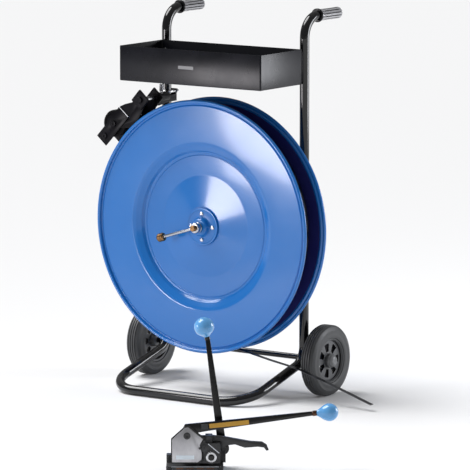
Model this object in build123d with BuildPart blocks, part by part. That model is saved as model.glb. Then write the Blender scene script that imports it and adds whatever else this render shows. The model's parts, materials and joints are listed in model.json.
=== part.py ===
from build123d import *
import os
from math import atan2, cos, degrees, radians, sin, sqrt, tan

# A strapping set: a two-wheeled trolley with a steel-strap reel, a tray and a hold-down arm,
# and the hand tool that tensions and seals the strap. Millimetres, +Z up, +X to the right,
# -Y to the front, where the reel's clamp lever is.

# ---------------------------------------------------------------- trolley frame
tube_r = 13.5
tube_wall = 2.0
upright_x = 236.0
handle_z = 1061.0
handle_bend_r = 60.0
tube_end_y = 150.0
leg_corner_z = 94.0
leg_bend_r = 55.0
front_bar_y = -290.0
bow_corner_r = 95.0
leg_joint = 112.0
spigot_length = 30.0
spigot_gap = 0.1

# grips
grip_wall = 3.0
grip_end_y = 170.0
collar_rise = 3.0
collar_length = 7.0
ridge_count = 12
ridge_r = 2.0

# wheels and axle
wheel_r = 100.0
wheel_width = 46.0
wheel_offset = 87.6
rim_r = 62.0
tyre_shoulder = 9.0
hub_r = 19.0
spoke_count = 7
axle_r = 8.0
axle_end_inset = 3.6
washer_r = 15.0
washer_width = 4.0
running_gap = 0.06
side_gap = 0.4
cap_r = 20.0
cap_bulge = 9.0

# tray
tray_overhang = 4.0
tray_depth = 203.5
tray_height = 98.0
tray_drop = 88.3
tray_sheet = 1.5
tray_bend_r = 3.0
bracket_thickness = 4.0
bracket_width = 30.0
bracket_height = 84.0
bolt_r = 4.0
bolt_head_r = 7.0
bolt_head = 5.0
bracket_inset = 10.0

# ---------------------------------------------------------------- reel
reel_z = 473.0
disc_r = 357.0
disc_gap = 92.0
rear_rim_y = -74.0
sheet = 1.5
bead_r = 5.0
step_outer_r = 237.0
step_inner_r = 208.0
dish_depth = 20.0
cone_r = 144.0
cone_rise = 10.5
flange_r = 53.0
flange_thickness = 6.0
hub_pcd = 73.0
hub_bolt_head_r = 5.5
hub_bolt_head = 3.5
spindle_r = 12.0
spindle_reach = 7.0
spindle_back_y = 46.0
thread_depth = 1.6
boss_r = 25.0
boss_reach = 13.0
coil_inner_r = 203.2
coil_outer_r = 316.0
coil_side_gap = 1.0
drum_wall = 6.0
clip_angle = 42.0

# clamp lever
nut_r = 14.5
nut_length = 20.0
lever_bar_r = 4.7
lever_reach = 112.0
lever_angle = 197.0
knob_r = 12.0
knob_length = 22.0
end_cap_r = 8.5
end_cap_length = 10.0

# crossbar and bearing housing
crossbar_height = 50.0
crossbar_depth = 25.0
crossbar_wall = 2.0
housing_r = 18.0
housing_flange_r = 46.0
housing_pcd = 70.0
housing_front_y = -54.0
housing_back_y = 30.0
housing_flange = 8.0

# ---------------------------------------------------------------- hold-down arm
pivot_inset = 21.0
pivot_rise = 342.0
shaft_r = 6.0
hanger_r = 13.0
hanger_back_y = -28.0
lug_size = 42.0
lug_thickness = 5.0
lug_turn = 48.0
arm_front_gap = 12.0
arm_back_gap = 16.0
arm_sheet = 3.0
roller_out = 95.0
roller_drop = 74.0
roller_r = 39.0
roller_pin_r = 6.0
roller_side_gap = 0.5
spacer_out = 126.0
spacer_drop = 110.0
spacer_r = 5.5
blade_thickness = 2.0
clamp_rise = 5.0
arm_tip_out = 152.0
clamp_wire_r = 4.0
spring_in = 25.0
spring_r = 5.0
spring_wire_r = 0.9

# ---------------------------------------------------------------- strap tail
strap_width = 16.0
strap_thickness = 0.8
strap_gap = 0.6

# ---------------------------------------------------------------- hand tool
tool_x = 608.0
tool_y = -1030.0
tool_turn = 34.8
base_length = 146.0
base_depth = 74.0
base_height = 14.0
base_left = -86.0
base_front = 34.0
slot_height = 6.0
plate_front = 32.0
plate_thickness = 5.0
feed_s = -33.0
feed_z = 36.5
feed_wheel_r = 21.0
feed_shaft_r = 6.0
tension_plane = 20.0
tension_thickness = 9.0
tension_knob_s = 331.0
tension_knob_z = 151.5
tension_knob_r = 23.0
sealing_plane = -30.0
sealing_thickness = 9.0
sealing_s = 58.0
sealing_z = 48.0
sealing_knob_s = 11.0
sealing_knob_z = 364.0
sealing_knob_r = 25.5
pivot_pin_r = 5.0
release_s = 24.0
release_z = 82.0
release_plane = 4.0
release_thickness = 14.0
layer_gap = 0.5

# ---------------------------------------------------------------- worked-out places
leg_slope = atan2(leg_corner_z - tube_r, -front_bar_y)
leg_bend_top_z = leg_corner_z + leg_bend_r * tan((radians(90) - leg_slope) / 2)
bow_length = -front_bar_y / cos(leg_slope)
axle_z = wheel_r
axle_reach = leg_bend_r + tube_r + axle_r
axle_y = -leg_bend_r + sqrt(axle_reach**2 - (leg_bend_top_z - axle_z) ** 2)
wheel_outer_x = upright_x + wheel_offset
wheel_inner_x = wheel_outer_x - wheel_width
axle_end_x = wheel_outer_x - axle_end_inset
grip_r = tube_r + grip_wall
collar_r = grip_r + collar_rise
front_rim_y = rear_rim_y - disc_gap
boss_front_y = front_rim_y - boss_reach
spindle_front_y = boss_front_y - spindle_reach
thread_r = spindle_r - thread_depth
strap_plane_y = (front_rim_y + rear_rim_y) / 2
coil_front_y = front_rim_y + sheet + dish_depth + coil_side_gap
coil_back_y = rear_rim_y - sheet - dish_depth - coil_side_gap
hub_front_y = front_rim_y + sheet + dish_depth - cone_rise
tray_width = 2 * (upright_x + tray_overhang)
tray_top_z = handle_z - tray_drop
tray_bottom_z = tray_top_z - tray_height
tray_back_y = -tube_r - bracket_thickness
pivot_x = pivot_inset - upright_x
pivot_z = reel_z + pivot_rise
arm_front_y = front_rim_y + arm_front_gap
arm_back_y = rear_rim_y - arm_back_gap
hanger_front_y = arm_back_y + lug_thickness + side_gap
roller_x = pivot_x - roller_out
roller_z = pivot_z - roller_drop
spacer_x = pivot_x - spacer_out
spacer_z = pivot_z - spacer_drop
clamp_z = pivot_z + clamp_rise
spring_x = pivot_x + spring_in
arm_tip_x = pivot_x - arm_tip_out
tool_right = (cos(radians(tool_turn)), sin(radians(tool_turn)), 0)
tool_near = (sin(radians(tool_turn)), -cos(radians(tool_turn)), 0)

# The origin is on the floor under the middle of the whole set.
set_left = arm_tip_x
set_right = tool_x + tool_right[0] * tension_knob_s + tool_near[0] * tension_plane + tension_knob_r
set_front = tool_y + tool_right[1] * base_left + tool_near[1] * base_front
set_back = grip_end_y
origin_x = (set_left + set_right) / 2
origin_y = (set_front + set_back) / 2


def at(x=0.0, y=0.0, z=0.0):
    return (x - origin_x, y - origin_y, z)


def facing_front(x=0.0, y=0.0, z=0.0):
    # local x is +X, local y is +Z, and the normal points to the front
    return Plane(origin=at(x, y, z), x_dir=(1, 0, 0), z_dir=(0, -1, 0))


def facing_right(x=0.0, y=0.0, z=0.0):
    # local x is +Y, local y is +Z
    return Plane(origin=at(x, y, z), x_dir=(0, 1, 0), z_dir=(1, 0, 0))


def facing_up(x=0.0, y=0.0, z=0.0):
    return Plane(origin=at(x, y, z))


def on_tool(near=0.0, s=0.0, z=0.0):
    # the hand tool's side plane: local x runs along the tool, local y is +Z, normal to its near side
    x = tool_x + tool_right[0] * s + tool_near[0] * near
    y = tool_y + tool_right[1] * s + tool_near[1] * near
    return Plane(origin=at(x, y, z), x_dir=tool_right, z_dir=tool_near)


def finish(piece, name):
    piece.part.label = name
    export_step(piece.part, f"parts/{name}.step")


os.makedirs("parts", exist_ok=True)


# ---------------------------------------------------------------- frame tubes
def upright(side):
    leg_end = (-leg_joint * cos(leg_slope), leg_corner_z - leg_joint * sin(leg_slope))
    with BuildPart() as tube:
        with BuildLine(facing_right(side * upright_x)) as route:
            FilletPolyline(
                (tube_end_y, handle_z),
                (0, handle_z),
                (0, leg_corner_z),
                leg_end,
                radius=[handle_bend_r, leg_bend_r],
            )
        with BuildSketch(Plane(origin=route.line @ 0, z_dir=route.line % 0)):
            Circle(tube_r)
            Circle(tube_r - tube_wall, mode=Mode.SUBTRACT)
        sweep()
    return tube


left_upright = upright(-1)
finish(left_upright, "left_upright")
right_upright = upright(1)
finish(right_upright, "right_upright")

leg_down = (0, -cos(leg_slope), -sin(leg_slope))
bow_plane = Plane(origin=at(0, 0, leg_corner_z), x_dir=(1, 0, 0), z_dir=(0, sin(leg_slope), -cos(leg_slope)))
with BuildPart() as foot_bow:
    with BuildLine(bow_plane) as bow_route:
        FilletPolyline(
            (-upright_x, leg_joint),
            (-upright_x, bow_length),
            (upright_x, bow_length),
            (upright_x, leg_joint),
            radius=bow_corner_r,
        )
    with BuildSketch(Plane(origin=bow_route.line @ 0, z_dir=bow_route.line % 0)):
        Circle(tube_r)
        Circle(tube_r - tube_wall, mode=Mode.SUBTRACT)
    sweep()
    for side in (-1, 1):
        joint = bow_plane.from_local_coords((side * upright_x, leg_joint, 0))
        for gap, reach in ((0, spigot_length), (spigot_gap, -spigot_length)):
            with BuildSketch(Plane(origin=joint, z_dir=leg_down)):
                Circle(tube_r - tube_wall - gap)
                Circle(tube_r - 2 * tube_wall, mode=Mode.SUBTRACT)
            extrude(amount=reach)
finish(foot_bow, "foot_bow")

with BuildPart() as axle:
    with BuildSketch(facing_right(-axle_end_x, axle_y, axle_z)):
        Circle(axle_r)
    extrude(amount=2 * axle_end_x)
    chamfer(axle.edges().filter_by(GeomType.CIRCLE), 1.0)
finish(axle, "axle")

with BuildPart() as reel_crossbar:
    with BuildSketch(facing_right(-upright_x, 0, reel_z)):
        Rectangle(crossbar_depth, crossbar_height)
        Rectangle(crossbar_depth - 2 * crossbar_wall, crossbar_height - 2 * crossbar_wall, mode=Mode.SUBTRACT)
    extrude(amount=2 * upright_x)
    with BuildSketch(facing_up(0, 0, reel_z - crossbar_height)):
        for side in (-1, 1):
            with Locations((side * upright_x, 0)):
                Circle(tube_r)
    extrude(amount=2 * crossbar_height, mode=Mode.SUBTRACT)
    with BuildSketch(facing_front(0, crossbar_depth, reel_z)):
        Circle(housing_r)
        with PolarLocations(housing_pcd / 2, 2):
            Circle(bolt_r)
    extrude(amount=2 * crossbar_depth, mode=Mode.SUBTRACT)
finish(reel_crossbar, "reel_crossbar")


# ---------------------------------------------------------------- grips
def grip(side):
    start_y = handle_bend_r + collar_length
    with BuildPart() as sleeve:
        with BuildSketch(facing_front(side * upright_x, grip_end_y, handle_z)):
            Circle(grip_r)
            with PolarLocations(grip_r + ridge_r / 2, ridge_count):
                Circle(ridge_r, mode=Mode.SUBTRACT)
        extrude(amount=grip_end_y - start_y)
        with BuildSketch(facing_front(side * upright_x, tube_end_y, handle_z)):
            Circle(tube_r)
        extrude(amount=tube_end_y, mode=Mode.SUBTRACT)
    return sleeve


left_grip = grip(-1)
finish(left_grip, "left_grip")
right_grip = grip(1)
finish(right_grip, "right_grip")

with BuildPart() as grip_collars:
    for side in (-1, 1):
        with BuildSketch(facing_front(side * upright_x, handle_bend_r + collar_length, handle_z)):
            Circle(collar_r)
            Circle(tube_r, mode=Mode.SUBTRACT)
        extrude(amount=collar_length)
finish(grip_collars, "grip_collars")

# ---------------------------------------------------------------- tray
tray_mid_y = tray_back_y - tray_depth / 2
bolt_z_low = tray_bottom_z + tray_height / 2 - bracket_height / 4
bolt_z_high = tray_bottom_z + tray_height / 2 + bracket_height / 4
hook_x = spring_x
hook_y = (arm_back_y + hanger_front_y) / 2
hook_size = 12
hook_sheet = 3
hook_hole_r = 2.6

with BuildPart() as tray:
    with BuildSketch(facing_up(0, tray_mid_y, tray_bottom_z)):
        RectangleRounded(tray_width, tray_depth, tray_bend_r)
    extrude(amount=tray_height)
    with BuildSketch(facing_up(0, tray_mid_y, tray_bottom_z + tray_sheet)):
        RectangleRounded(tray_width - 2 * tray_sheet, tray_depth - 2 * tray_sheet, tray_bend_r - tray_sheet)
    extrude(amount=tray_height, mode=Mode.SUBTRACT)
    with BuildSketch(facing_front(0, tray_back_y, 0)):
        for side in (-1, 1):
            for z in (bolt_z_low, bolt_z_high):
                with Locations((side * (upright_x - bracket_inset), z)):
                    Circle(bolt_r)
    extrude(amount=2 * tray_sheet, mode=Mode.SUBTRACT)
    with BuildSketch(facing_front(hook_x, hook_y + hook_sheet / 2, tray_bottom_z)):
        with Locations((0, -hook_size / 2)):
            Rectangle(hook_size, hook_size)
        with Locations((0, -hook_size / 2 - 1)):
            Circle(hook_hole_r, mode=Mode.SUBTRACT)
    extrude(amount=hook_sheet)
finish(tray, "tray")

bracket_mid_z = tray_bottom_z + tray_height / 2
with BuildPart() as tray_brackets:
    for side in (-1, 1):
        with BuildSketch(facing_front(side * (upright_x - bracket_inset), 0, bracket_mid_z)):
            Rectangle(bracket_width, bracket_height)
            for z in (-bracket_height / 4, bracket_height / 4):
                with Locations((0, z)):
                    Circle(bolt_r, mode=Mode.SUBTRACT)
        extrude(amount=tube_r + bracket_thickness)
    with BuildSketch(facing_up(0, 0, tray_bottom_z - bracket_height)):
        for side in (-1, 1):
            with Locations((side * upright_x, 0)):
                Circle(tube_r)
    extrude(amount=3 * bracket_height, mode=Mode.SUBTRACT)
finish(tray_brackets, "tray_brackets")

with BuildPart() as frame_bolts:
    for side in (-1, 1):
        for z in (bolt_z_low, bolt_z_high):
            tray_bolt_x = side * (upright_x - bracket_inset)
            with BuildSketch(facing_front(tray_bolt_x, tray_back_y - tray_sheet, z)):
                RegularPolygon(bolt_head_r, 6)
            extrude(amount=bolt_head)
            with BuildSketch(facing_front(tray_bolt_x, -tube_r, z)):
                Circle(bolt_r)
            extrude(amount=bracket_thickness + tray_sheet)
    for side in (-1, 1):
        bolt_x = side * housing_pcd / 2
        with BuildSketch(facing_front(bolt_x, -crossbar_depth / 2 - housing_flange, reel_z)):
            RegularPolygon(bolt_head_r, 6)
        extrude(amount=bolt_head)
        with BuildSketch(facing_front(bolt_x, crossbar_depth / 2, reel_z)):
            Circle(bolt_r)
        extrude(amount=crossbar_depth + housing_flange)
        with BuildSketch(facing_front(bolt_x, crossbar_depth / 2, reel_z)):
            RegularPolygon(bolt_head_r, 6)
        extrude(amount=-bolt_head)
finish(frame_bolts, "frame_bolts")


# ---------------------------------------------------------------- wheels
def across(side, x):
    # a plane in which local x runs outwards along the axle and local y is the radius
    return Plane(origin=at(side * x, axle_y, axle_z), x_dir=(side, 0, 0), z_dir=(0, -side, 0))


axle_line = Axis(at(0, axle_y, axle_z), (1, 0, 0))
groove_pitch = 7.5
groove_width = 1.6
groove_depth = 2.5
rim_lip = 5
web_front = wheel_outer_x - 12
web_back = wheel_inner_x + 16
hub_end = wheel_outer_x - 6
window_long = 24
window_wide = 15
window_taper = 74
cap_edge = 1.5
cap_dome = 9
cap_wall = 3


def tyre(side):
    with BuildPart() as ring:
        with BuildSketch(across(side, wheel_inner_x)) as section:
            with Locations((wheel_width / 2, (wheel_r + rim_r) / 2)):
                Rectangle(wheel_width, wheel_r - rim_r)
            fillet(section.vertices().group_by(Axis.Z)[-1], tyre_shoulder)
            for i in range(4):
                with Locations((wheel_width / 2 + (i - 1.5) * groove_pitch, wheel_r)):
                    Rectangle(groove_width, 2 * groove_depth, mode=Mode.SUBTRACT)
        revolve(axis=axle_line)
    return ring


def rim(side):
    hub_in = washer_width + tube_r + upright_x + 2 + side_gap
    with BuildPart() as wheel:
        with BuildSketch(across(side, 0)):
            with BuildLine():
                Polyline(
                    (hub_in, axle_r + running_gap),
                    (hub_in, hub_r),
                    (web_back, hub_r),
                    (web_back, rim_r - rim_lip),
                    (wheel_inner_x + 2, rim_r - rim_lip),
                    (wheel_inner_x + 2, rim_r),
                    (wheel_outer_x - 3, rim_r),
                    (wheel_outer_x - 3, rim_r - rim_lip),
                    (web_front, rim_r - rim_lip - 2),
                    (web_front, hub_r),
                    (hub_end, hub_r),
                    (hub_end, axle_r + running_gap),
                    close=True,
                )
            make_face()
        revolve(axis=axle_line)
        with BuildSketch(facing_right(side * wheel_inner_x, axle_y, axle_z)):
            with PolarLocations((rim_r + hub_r) / 2 - 2, spoke_count, start_angle=90):
                Trapezoid(window_long, window_wide, window_taper, rotation=90)
        extrude(amount=side * wheel_width, mode=Mode.SUBTRACT)
    return wheel


def hub_cap(side):
    cap_front = wheel_outer_x + cap_bulge
    with BuildPart() as cap:
        with BuildSketch(across(side, 0)):
            with BuildLine():
                Polyline(
                    (hub_end, axle_r + 4),
                    (hub_end, cap_r),
                    (wheel_outer_x + 2, cap_r - cap_edge),
                    (cap_front, cap_r - cap_dome),
                    (cap_front, 0),
                    (cap_front - cap_wall, 0),
                    (cap_front - cap_wall, axle_r + 2),
                    close=True,
                )
            make_face()
        revolve(axis=axle_line)
    return cap


for side, name in ((-1, "left"), (1, "right")):
    finish(tyre(side), f"{name}_tyre")
    finish(rim(side), f"{name}_rim")
    finish(hub_cap(side), f"{name}_hub_cap")

with BuildPart() as axle_washers:
    for side in (-1, 1):
        with BuildSketch(facing_right(side * (upright_x + tube_r + 2), axle_y, axle_z)):
            Circle(washer_r)
            Circle(axle_r, mode=Mode.SUBTRACT)
        extrude(amount=side * washer_width)
finish(axle_washers, "axle_washers")

# ---------------------------------------------------------------- reel
reel_axis = Axis(at(0, 0, reel_z), (0, 1, 0))
sleeve_r = spindle_r + 10
rear_collar_r = spindle_r + 8
rear_collar = 6
rear_nut = 12
edge_break = 1.5
sleeve_front_y = coil_front_y + 14
boss_back_y = sleeve_front_y - side_gap
pilot_r = boss_r + 0.9
clip_size = 22
clip_sheet = 1.6
# a plane in which local x is the radius and local y is +Y
reel_section = Plane(origin=at(0, 0, reel_z), x_dir=(1, 0, 0), z_dir=(0, 0, 1))


def disc(rim_y, inward, bore_r):
    # the pressed sheet: rim, flat ring, step, dish floor and a cone that rises back to the hub
    def w(depth):
        return rim_y + inward * depth

    cone_top_r = flange_r + 4
    outline = [
        (disc_r - bead_r, w(0)),
        (step_outer_r, w(0)),
        (step_inner_r, w(dish_depth)),
        (cone_r, w(dish_depth)),
        (cone_top_r, w(dish_depth - cone_rise)),
        (bore_r, w(dish_depth - cone_rise)),
    ]
    inner = [(r, y + inward * sheet) for r, y in reversed(outline)]
    with BuildPart() as pressed:
        with BuildSketch(reel_section):
            with BuildLine():
                Polyline(*outline, *inner, close=True)
            make_face()
            with Locations((disc_r - bead_r, w(-bead_r / 2))):
                Circle(bead_r)
        revolve(axis=reel_axis)
    return pressed


front_disc = disc(front_rim_y, 1, boss_r + 1)
finish(front_disc, "front_disc")
rear_disc = disc(rear_rim_y, -1, sleeve_r)
finish(rear_disc, "rear_disc")

with BuildPart() as spindle:
    with BuildSketch(facing_front(0, spindle_back_y, reel_z)):
        Circle(spindle_r)
    extrude(amount=spindle_back_y - boss_front_y)
    with BuildSketch(facing_front(0, boss_front_y, reel_z)):
        Circle(thread_r)
    extrude(amount=boss_front_y - spindle_front_y)
    with BuildSketch(facing_front(0, housing_front_y - side_gap, reel_z)):
        Circle(rear_collar_r)
    extrude(amount=rear_collar)
    chamfer(spindle.edges().filter_by(GeomType.CIRCLE).sort_by(Axis.Y)[-1], edge_break)
finish(spindle, "spindle")

with BuildPart() as spindle_nut:
    with BuildSketch(facing_front(0, housing_back_y + side_gap, reel_z)):
        RegularPolygon(rear_collar_r, 6)
        Circle(spindle_r, mode=Mode.SUBTRACT)
    extrude(amount=-rear_nut)
finish(spindle_nut, "spindle_nut")

# the rear hub: a sleeve on the spindle with a flange bolted behind the rear disc's centre
rear_hub_y = rear_rim_y - dish_depth + cone_rise
collar_front_y = housing_front_y - side_gap - rear_collar
with BuildPart() as rear_hub_flange:
    with BuildSketch(reel_section):
        with BuildLine():
            Polyline(
                (spindle_r, collar_front_y),
                (boss_r, collar_front_y),
                (boss_r, rear_hub_y + flange_thickness),
                (flange_r, rear_hub_y + flange_thickness),
                (flange_r, rear_hub_y),
                (sleeve_r, rear_hub_y),
                (sleeve_r, sleeve_front_y),
                (spindle_r, sleeve_front_y),
                close=True,
            )
        make_face()
    revolve(axis=reel_axis)
    with BuildSketch(facing_front(0, rear_hub_y + flange_thickness, reel_z)):
        with PolarLocations(hub_pcd / 2, 4):
            Circle(bolt_r)
    extrude(amount=flange_thickness, mode=Mode.SUBTRACT)
finish(rear_hub_flange, "rear_hub_flange")

with BuildPart() as rear_hub_bolts:
    with BuildSketch(facing_front(0, rear_hub_y + flange_thickness, reel_z)):
        with PolarLocations(hub_pcd / 2, 4):
            Circle(hub_bolt_head_r)
    extrude(amount=-hub_bolt_head)
    with BuildSketch(facing_front(0, rear_hub_y + flange_thickness, reel_z)):
        with PolarLocations(hub_pcd / 2, 4):
            Circle(bolt_r)
    extrude(amount=flange_thickness)
finish(rear_hub_bolts, "rear_hub_bolts")

with BuildPart() as coil_drum:
    with BuildSketch(facing_front(0, rear_rim_y - sheet - dish_depth, reel_z)):
        Circle(coil_inner_r - 0.2)
        Circle(coil_inner_r - 0.2 - drum_wall, mode=Mode.SUBTRACT)
    extrude(amount=disc_gap - 2 * sheet - 2 * dish_depth - side_gap)
finish(coil_drum, "coil_drum")

with BuildPart() as strap_coil:
    with BuildSketch(facing_front(0, coil_back_y, reel_z)):
        Circle(coil_outer_r)
        Circle(coil_inner_r, mode=Mode.SUBTRACT)
    extrude(amount=coil_back_y - coil_front_y)
finish(strap_coil, "strap_coil")

with BuildPart() as coil_clip:
    clip_plane = facing_front(0, coil_back_y - 6, reel_z)
    with BuildSketch(clip_plane):
        with PolarLocations(coil_outer_r + 1.0, 1, start_angle=clip_angle):
            Rectangle(clip_sheet, clip_size)
    extrude(amount=clip_size)
    with BuildSketch(clip_plane):
        Circle(coil_outer_r + 0.05)
    extrude(amount=clip_size, mode=Mode.SUBTRACT)
finish(coil_clip, "coil_clip")

# the removable front hub: a flange and a boss that slide on the spindle
with BuildPart() as front_hub_flange:
    with BuildSketch(reel_section):
        with BuildLine():
            Polyline(
                (spindle_r + running_gap, boss_front_y),
                (boss_r, boss_front_y),
                (boss_r, hub_front_y - sheet - flange_thickness),
                (flange_r, hub_front_y - sheet - flange_thickness),
                (flange_r, hub_front_y - sheet),
                (pilot_r, hub_front_y - sheet),
                (pilot_r, boss_back_y),
                (spindle_r + running_gap, boss_back_y),
                close=True,
            )
        make_face()
    revolve(axis=reel_axis)
    with BuildSketch(facing_front(0, hub_front_y - sheet, reel_z)):
        with PolarLocations(hub_pcd / 2, 4):
            Circle(bolt_r)
    extrude(amount=flange_thickness, mode=Mode.SUBTRACT)
finish(front_hub_flange, "front_hub_flange")

with BuildPart() as front_hub_bolts:
    flange_face_y = hub_front_y - sheet - flange_thickness
    with BuildSketch(facing_front(0, flange_face_y, reel_z)):
        with PolarLocations(hub_pcd / 2, 4):
            Circle(hub_bolt_head_r)
    extrude(amount=hub_bolt_head)
    with BuildSketch(facing_front(0, flange_face_y, reel_z)):
        with PolarLocations(hub_pcd / 2, 4):
            Circle(bolt_r)
    extrude(amount=-flange_thickness)
finish(front_hub_bolts, "front_hub_bolts")

# ---------------------------------------------------------------- clamp nut and its lever
nut_front_y = boss_front_y - nut_length
bar_y = nut_front_y + lever_bar_r + 2
bar_dir = (cos(radians(lever_angle)), 0, sin(radians(lever_angle)))
bar_plane = Plane(origin=at(0, bar_y, reel_z), x_dir=(0, 1, 0), z_dir=bar_dir)
with BuildPart() as clamp_nut:
    with BuildSketch(facing_front(0, boss_front_y, reel_z)):
        Circle(nut_r)
    extrude(amount=nut_length)
    chamfer(clamp_nut.edges().filter_by(GeomType.CIRCLE).sort_by(Axis.Y)[0], edge_break)
    with BuildSketch(facing_front(0, boss_front_y, reel_z)):
        Circle(thread_r + running_gap)
    extrude(amount=boss_front_y - spindle_front_y + side_gap, mode=Mode.SUBTRACT)
    with BuildSketch(bar_plane):
        Circle(lever_bar_r)
    extrude(amount=nut_r + 5, mode=Mode.SUBTRACT)
finish(clamp_nut, "clamp_nut")

with BuildPart() as clamp_bar:
    with BuildSketch(bar_plane):
        Circle(lever_bar_r)
    extrude(amount=lever_reach)
finish(clamp_bar, "clamp_bar")

with BuildPart() as clamp_bar_knob:
    with BuildSketch(bar_plane.offset(lever_reach)):
        Circle(knob_r)
    extrude(amount=knob_length)
    fillet(clamp_bar_knob.edges().filter_by(GeomType.CIRCLE), 3.5)
finish(clamp_bar_knob, "clamp_bar_knob")

with BuildPart() as clamp_cap:
    with BuildSketch(facing_front(0, nut_front_y, reel_z)):
        Circle(end_cap_r)
    extrude(amount=end_cap_length)
    chamfer(clamp_cap.edges().filter_by(GeomType.CIRCLE).sort_by(Axis.Y)[0], 1.2)
finish(clamp_cap, "clamp_cap")

# ---------------------------------------------------------------- bearing housing on the crossbar
with BuildPart() as bearing_housing:
    with BuildSketch(facing_front(0, housing_back_y, reel_z)):
        Circle(housing_r)
    extrude(amount=housing_back_y - housing_front_y)
    with BuildSketch(facing_front(0, -crossbar_depth / 2, reel_z)):
        Circle(housing_flange_r)
    extrude(amount=housing_flange)
    with BuildSketch(facing_front(0, -crossbar_depth / 2, reel_z)):
        with PolarLocations(housing_pcd / 2, 2):
            Circle(bolt_r)
    extrude(amount=housing_flange, mode=Mode.SUBTRACT)
    with BuildSketch(facing_front(0, housing_back_y, reel_z)):
        Circle(spindle_r + running_gap)
    extrude(amount=housing_back_y - housing_front_y, mode=Mode.SUBTRACT)
finish(bearing_housing, "bearing_housing")

# ---------------------------------------------------------------- hold-down arm's hanger
saddle = 5
saddle_y = tube_r + saddle
hanger_low_z = clamp_z - 23
hanger_bar_top = clamp_z - 4
saddle_top = clamp_z + 12
saddle_left = -upright_x - tube_r - 12
bar_left = -upright_x + tube_r + 0.1
bar_right = bar_left + 8
web_thickness = 6
u_bolt_z = clamp_z + 5
leg_end_y = saddle_y + 10
leg_nut_r = clamp_wire_r + 3
leg_nut = 5
with BuildPart() as brake_hanger:
    with BuildSketch(facing_front(pivot_x, hanger_back_y, pivot_z)):
        Circle(hanger_r)
    extrude(amount=hanger_back_y - hanger_front_y)
    with BuildSketch(facing_front((bar_left + bar_right) / 2, saddle_y, (hanger_low_z + hanger_bar_top) / 2)):
        Rectangle(bar_right - bar_left, hanger_bar_top - hanger_low_z)
    extrude(amount=saddle_y - hanger_back_y + 4)
    with BuildSketch(facing_front((saddle_left + bar_right) / 2, saddle_y, (hanger_low_z + saddle_top) / 2)):
        Rectangle(bar_right - saddle_left, saddle_top - hanger_low_z)
    extrude(amount=saddle)
    with BuildSketch(facing_right(pivot_x - web_thickness / 2, 0, 0)):
        Polygon(
            (hanger_front_y + 3, pivot_z - 10),
            (hanger_front_y + 14, hanger_low_z - 6),
            (hanger_back_y, hanger_low_z),
            (hanger_back_y, pivot_z - 8),
            align=None,
        )
    extrude(amount=web_thickness)
    with BuildSketch(facing_front(0, saddle_y, 0)):
        for side in (-1, 1):
            with Locations((-upright_x + side * (tube_r + clamp_wire_r), u_bolt_z)):
                Circle(clamp_wire_r + 0.2)
    extrude(amount=saddle + 1, mode=Mode.SUBTRACT)
    with BuildSketch(facing_front(pivot_x, hanger_back_y - 4, pivot_z)):
        Circle(shaft_r + running_gap)
    extrude(amount=hanger_back_y - hanger_front_y, mode=Mode.SUBTRACT)
finish(brake_hanger, "brake_hanger")

with BuildPart() as u_bolt:
    leg_x = tube_r + clamp_wire_r
    with BuildLine(facing_up(-upright_x, 0, u_bolt_z)) as u_route:
        Line((-leg_x, leg_end_y), (-leg_x, 0))
        ThreePointArc((-leg_x, 0), (0, -leg_x), (leg_x, 0))
        Line((leg_x, 0), (leg_x, leg_end_y))
    with BuildSketch(Plane(origin=u_route.line @ 0, z_dir=u_route.line % 0)):
        Circle(clamp_wire_r)
    sweep()
    for side in (-1, 1):
        with BuildSketch(facing_front(-upright_x + side * leg_x, saddle_y, u_bolt_z)):
            RegularPolygon(leg_nut_r, 6)
        extrude(amount=-leg_nut)
finish(u_bolt, "u_bolt")

# ---------------------------------------------------------------- hold-down arm
# outlines are (x, z) on planes that face the front, measured from the pivot
def from_pivot(out, drop):
    return (pivot_x - out, pivot_z - drop)


slit_top = from_pivot(74.5, 24)
slit_low = from_pivot(41.5, 52)
slit_run = sqrt((slit_low[0] - slit_top[0]) ** 2 + (slit_low[1] - slit_top[1]) ** 2)
slit_dir = ((slit_low[0] - slit_top[0]) / slit_run, (slit_low[1] - slit_top[1]) / slit_run)
slit_normal = (-slit_dir[1], slit_dir[0])


def beside_slit(point, offset):
    return (point[0] + slit_normal[0] * offset, point[1] + slit_normal[1] * offset)


arm_outline = [
    beside_slit(slit_top, blade_thickness / 2),
    from_pivot(54, 15),
    from_pivot(31, 9),
    from_pivot(7, -13),
    from_pivot(-15, -5),
    from_pivot(-15, 13),
    from_pivot(11, 59),
    from_pivot(37, 82),
    (roller_x, roller_z - 14),
    (roller_x, roller_z + 14),
    from_pivot(48, 60),
    beside_slit(slit_low, blade_thickness / 2),
]
cheek_outline = [
    (arm_tip_x, pivot_z - 111),
    from_pivot(116, 72),
    from_pivot(112, 59),
    from_pivot(105, 47),
    from_pivot(87, 40),
    beside_slit(slit_top, -blade_thickness / 2 - 0.6),
    beside_slit(slit_low, -blade_thickness / 2 - 0.6),
    from_pivot(100, 116),
    from_pivot(121, 138),
]
arm_inner_front = arm_front_y + arm_sheet
arm_inner_back = arm_back_y - arm_sheet

with BuildPart() as arm_channel:
    for y in (arm_inner_front, arm_back_y):
        with BuildSketch(facing_front(0, y, 0)):
            Polygon(*arm_outline, align=None)
            with Locations((pivot_x, pivot_z)):
                Circle(shaft_r, mode=Mode.SUBTRACT)
            with Locations((roller_x, roller_z)):
                Circle(14)
                Circle(roller_pin_r, mode=Mode.SUBTRACT)
        extrude(amount=arm_sheet)
    with BuildSketch(facing_front(0, arm_back_y, 0)):
        Polygon(
            beside_slit(slit_top, blade_thickness / 2),
            from_pivot(54, 15),
            from_pivot(31, 9),
            from_pivot(30, 12),
            from_pivot(53, 18),
            from_pivot(69, 25),
            align=None,
        )
    extrude(amount=arm_back_y - arm_front_y)
finish(arm_channel, "arm_channel")

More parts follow.
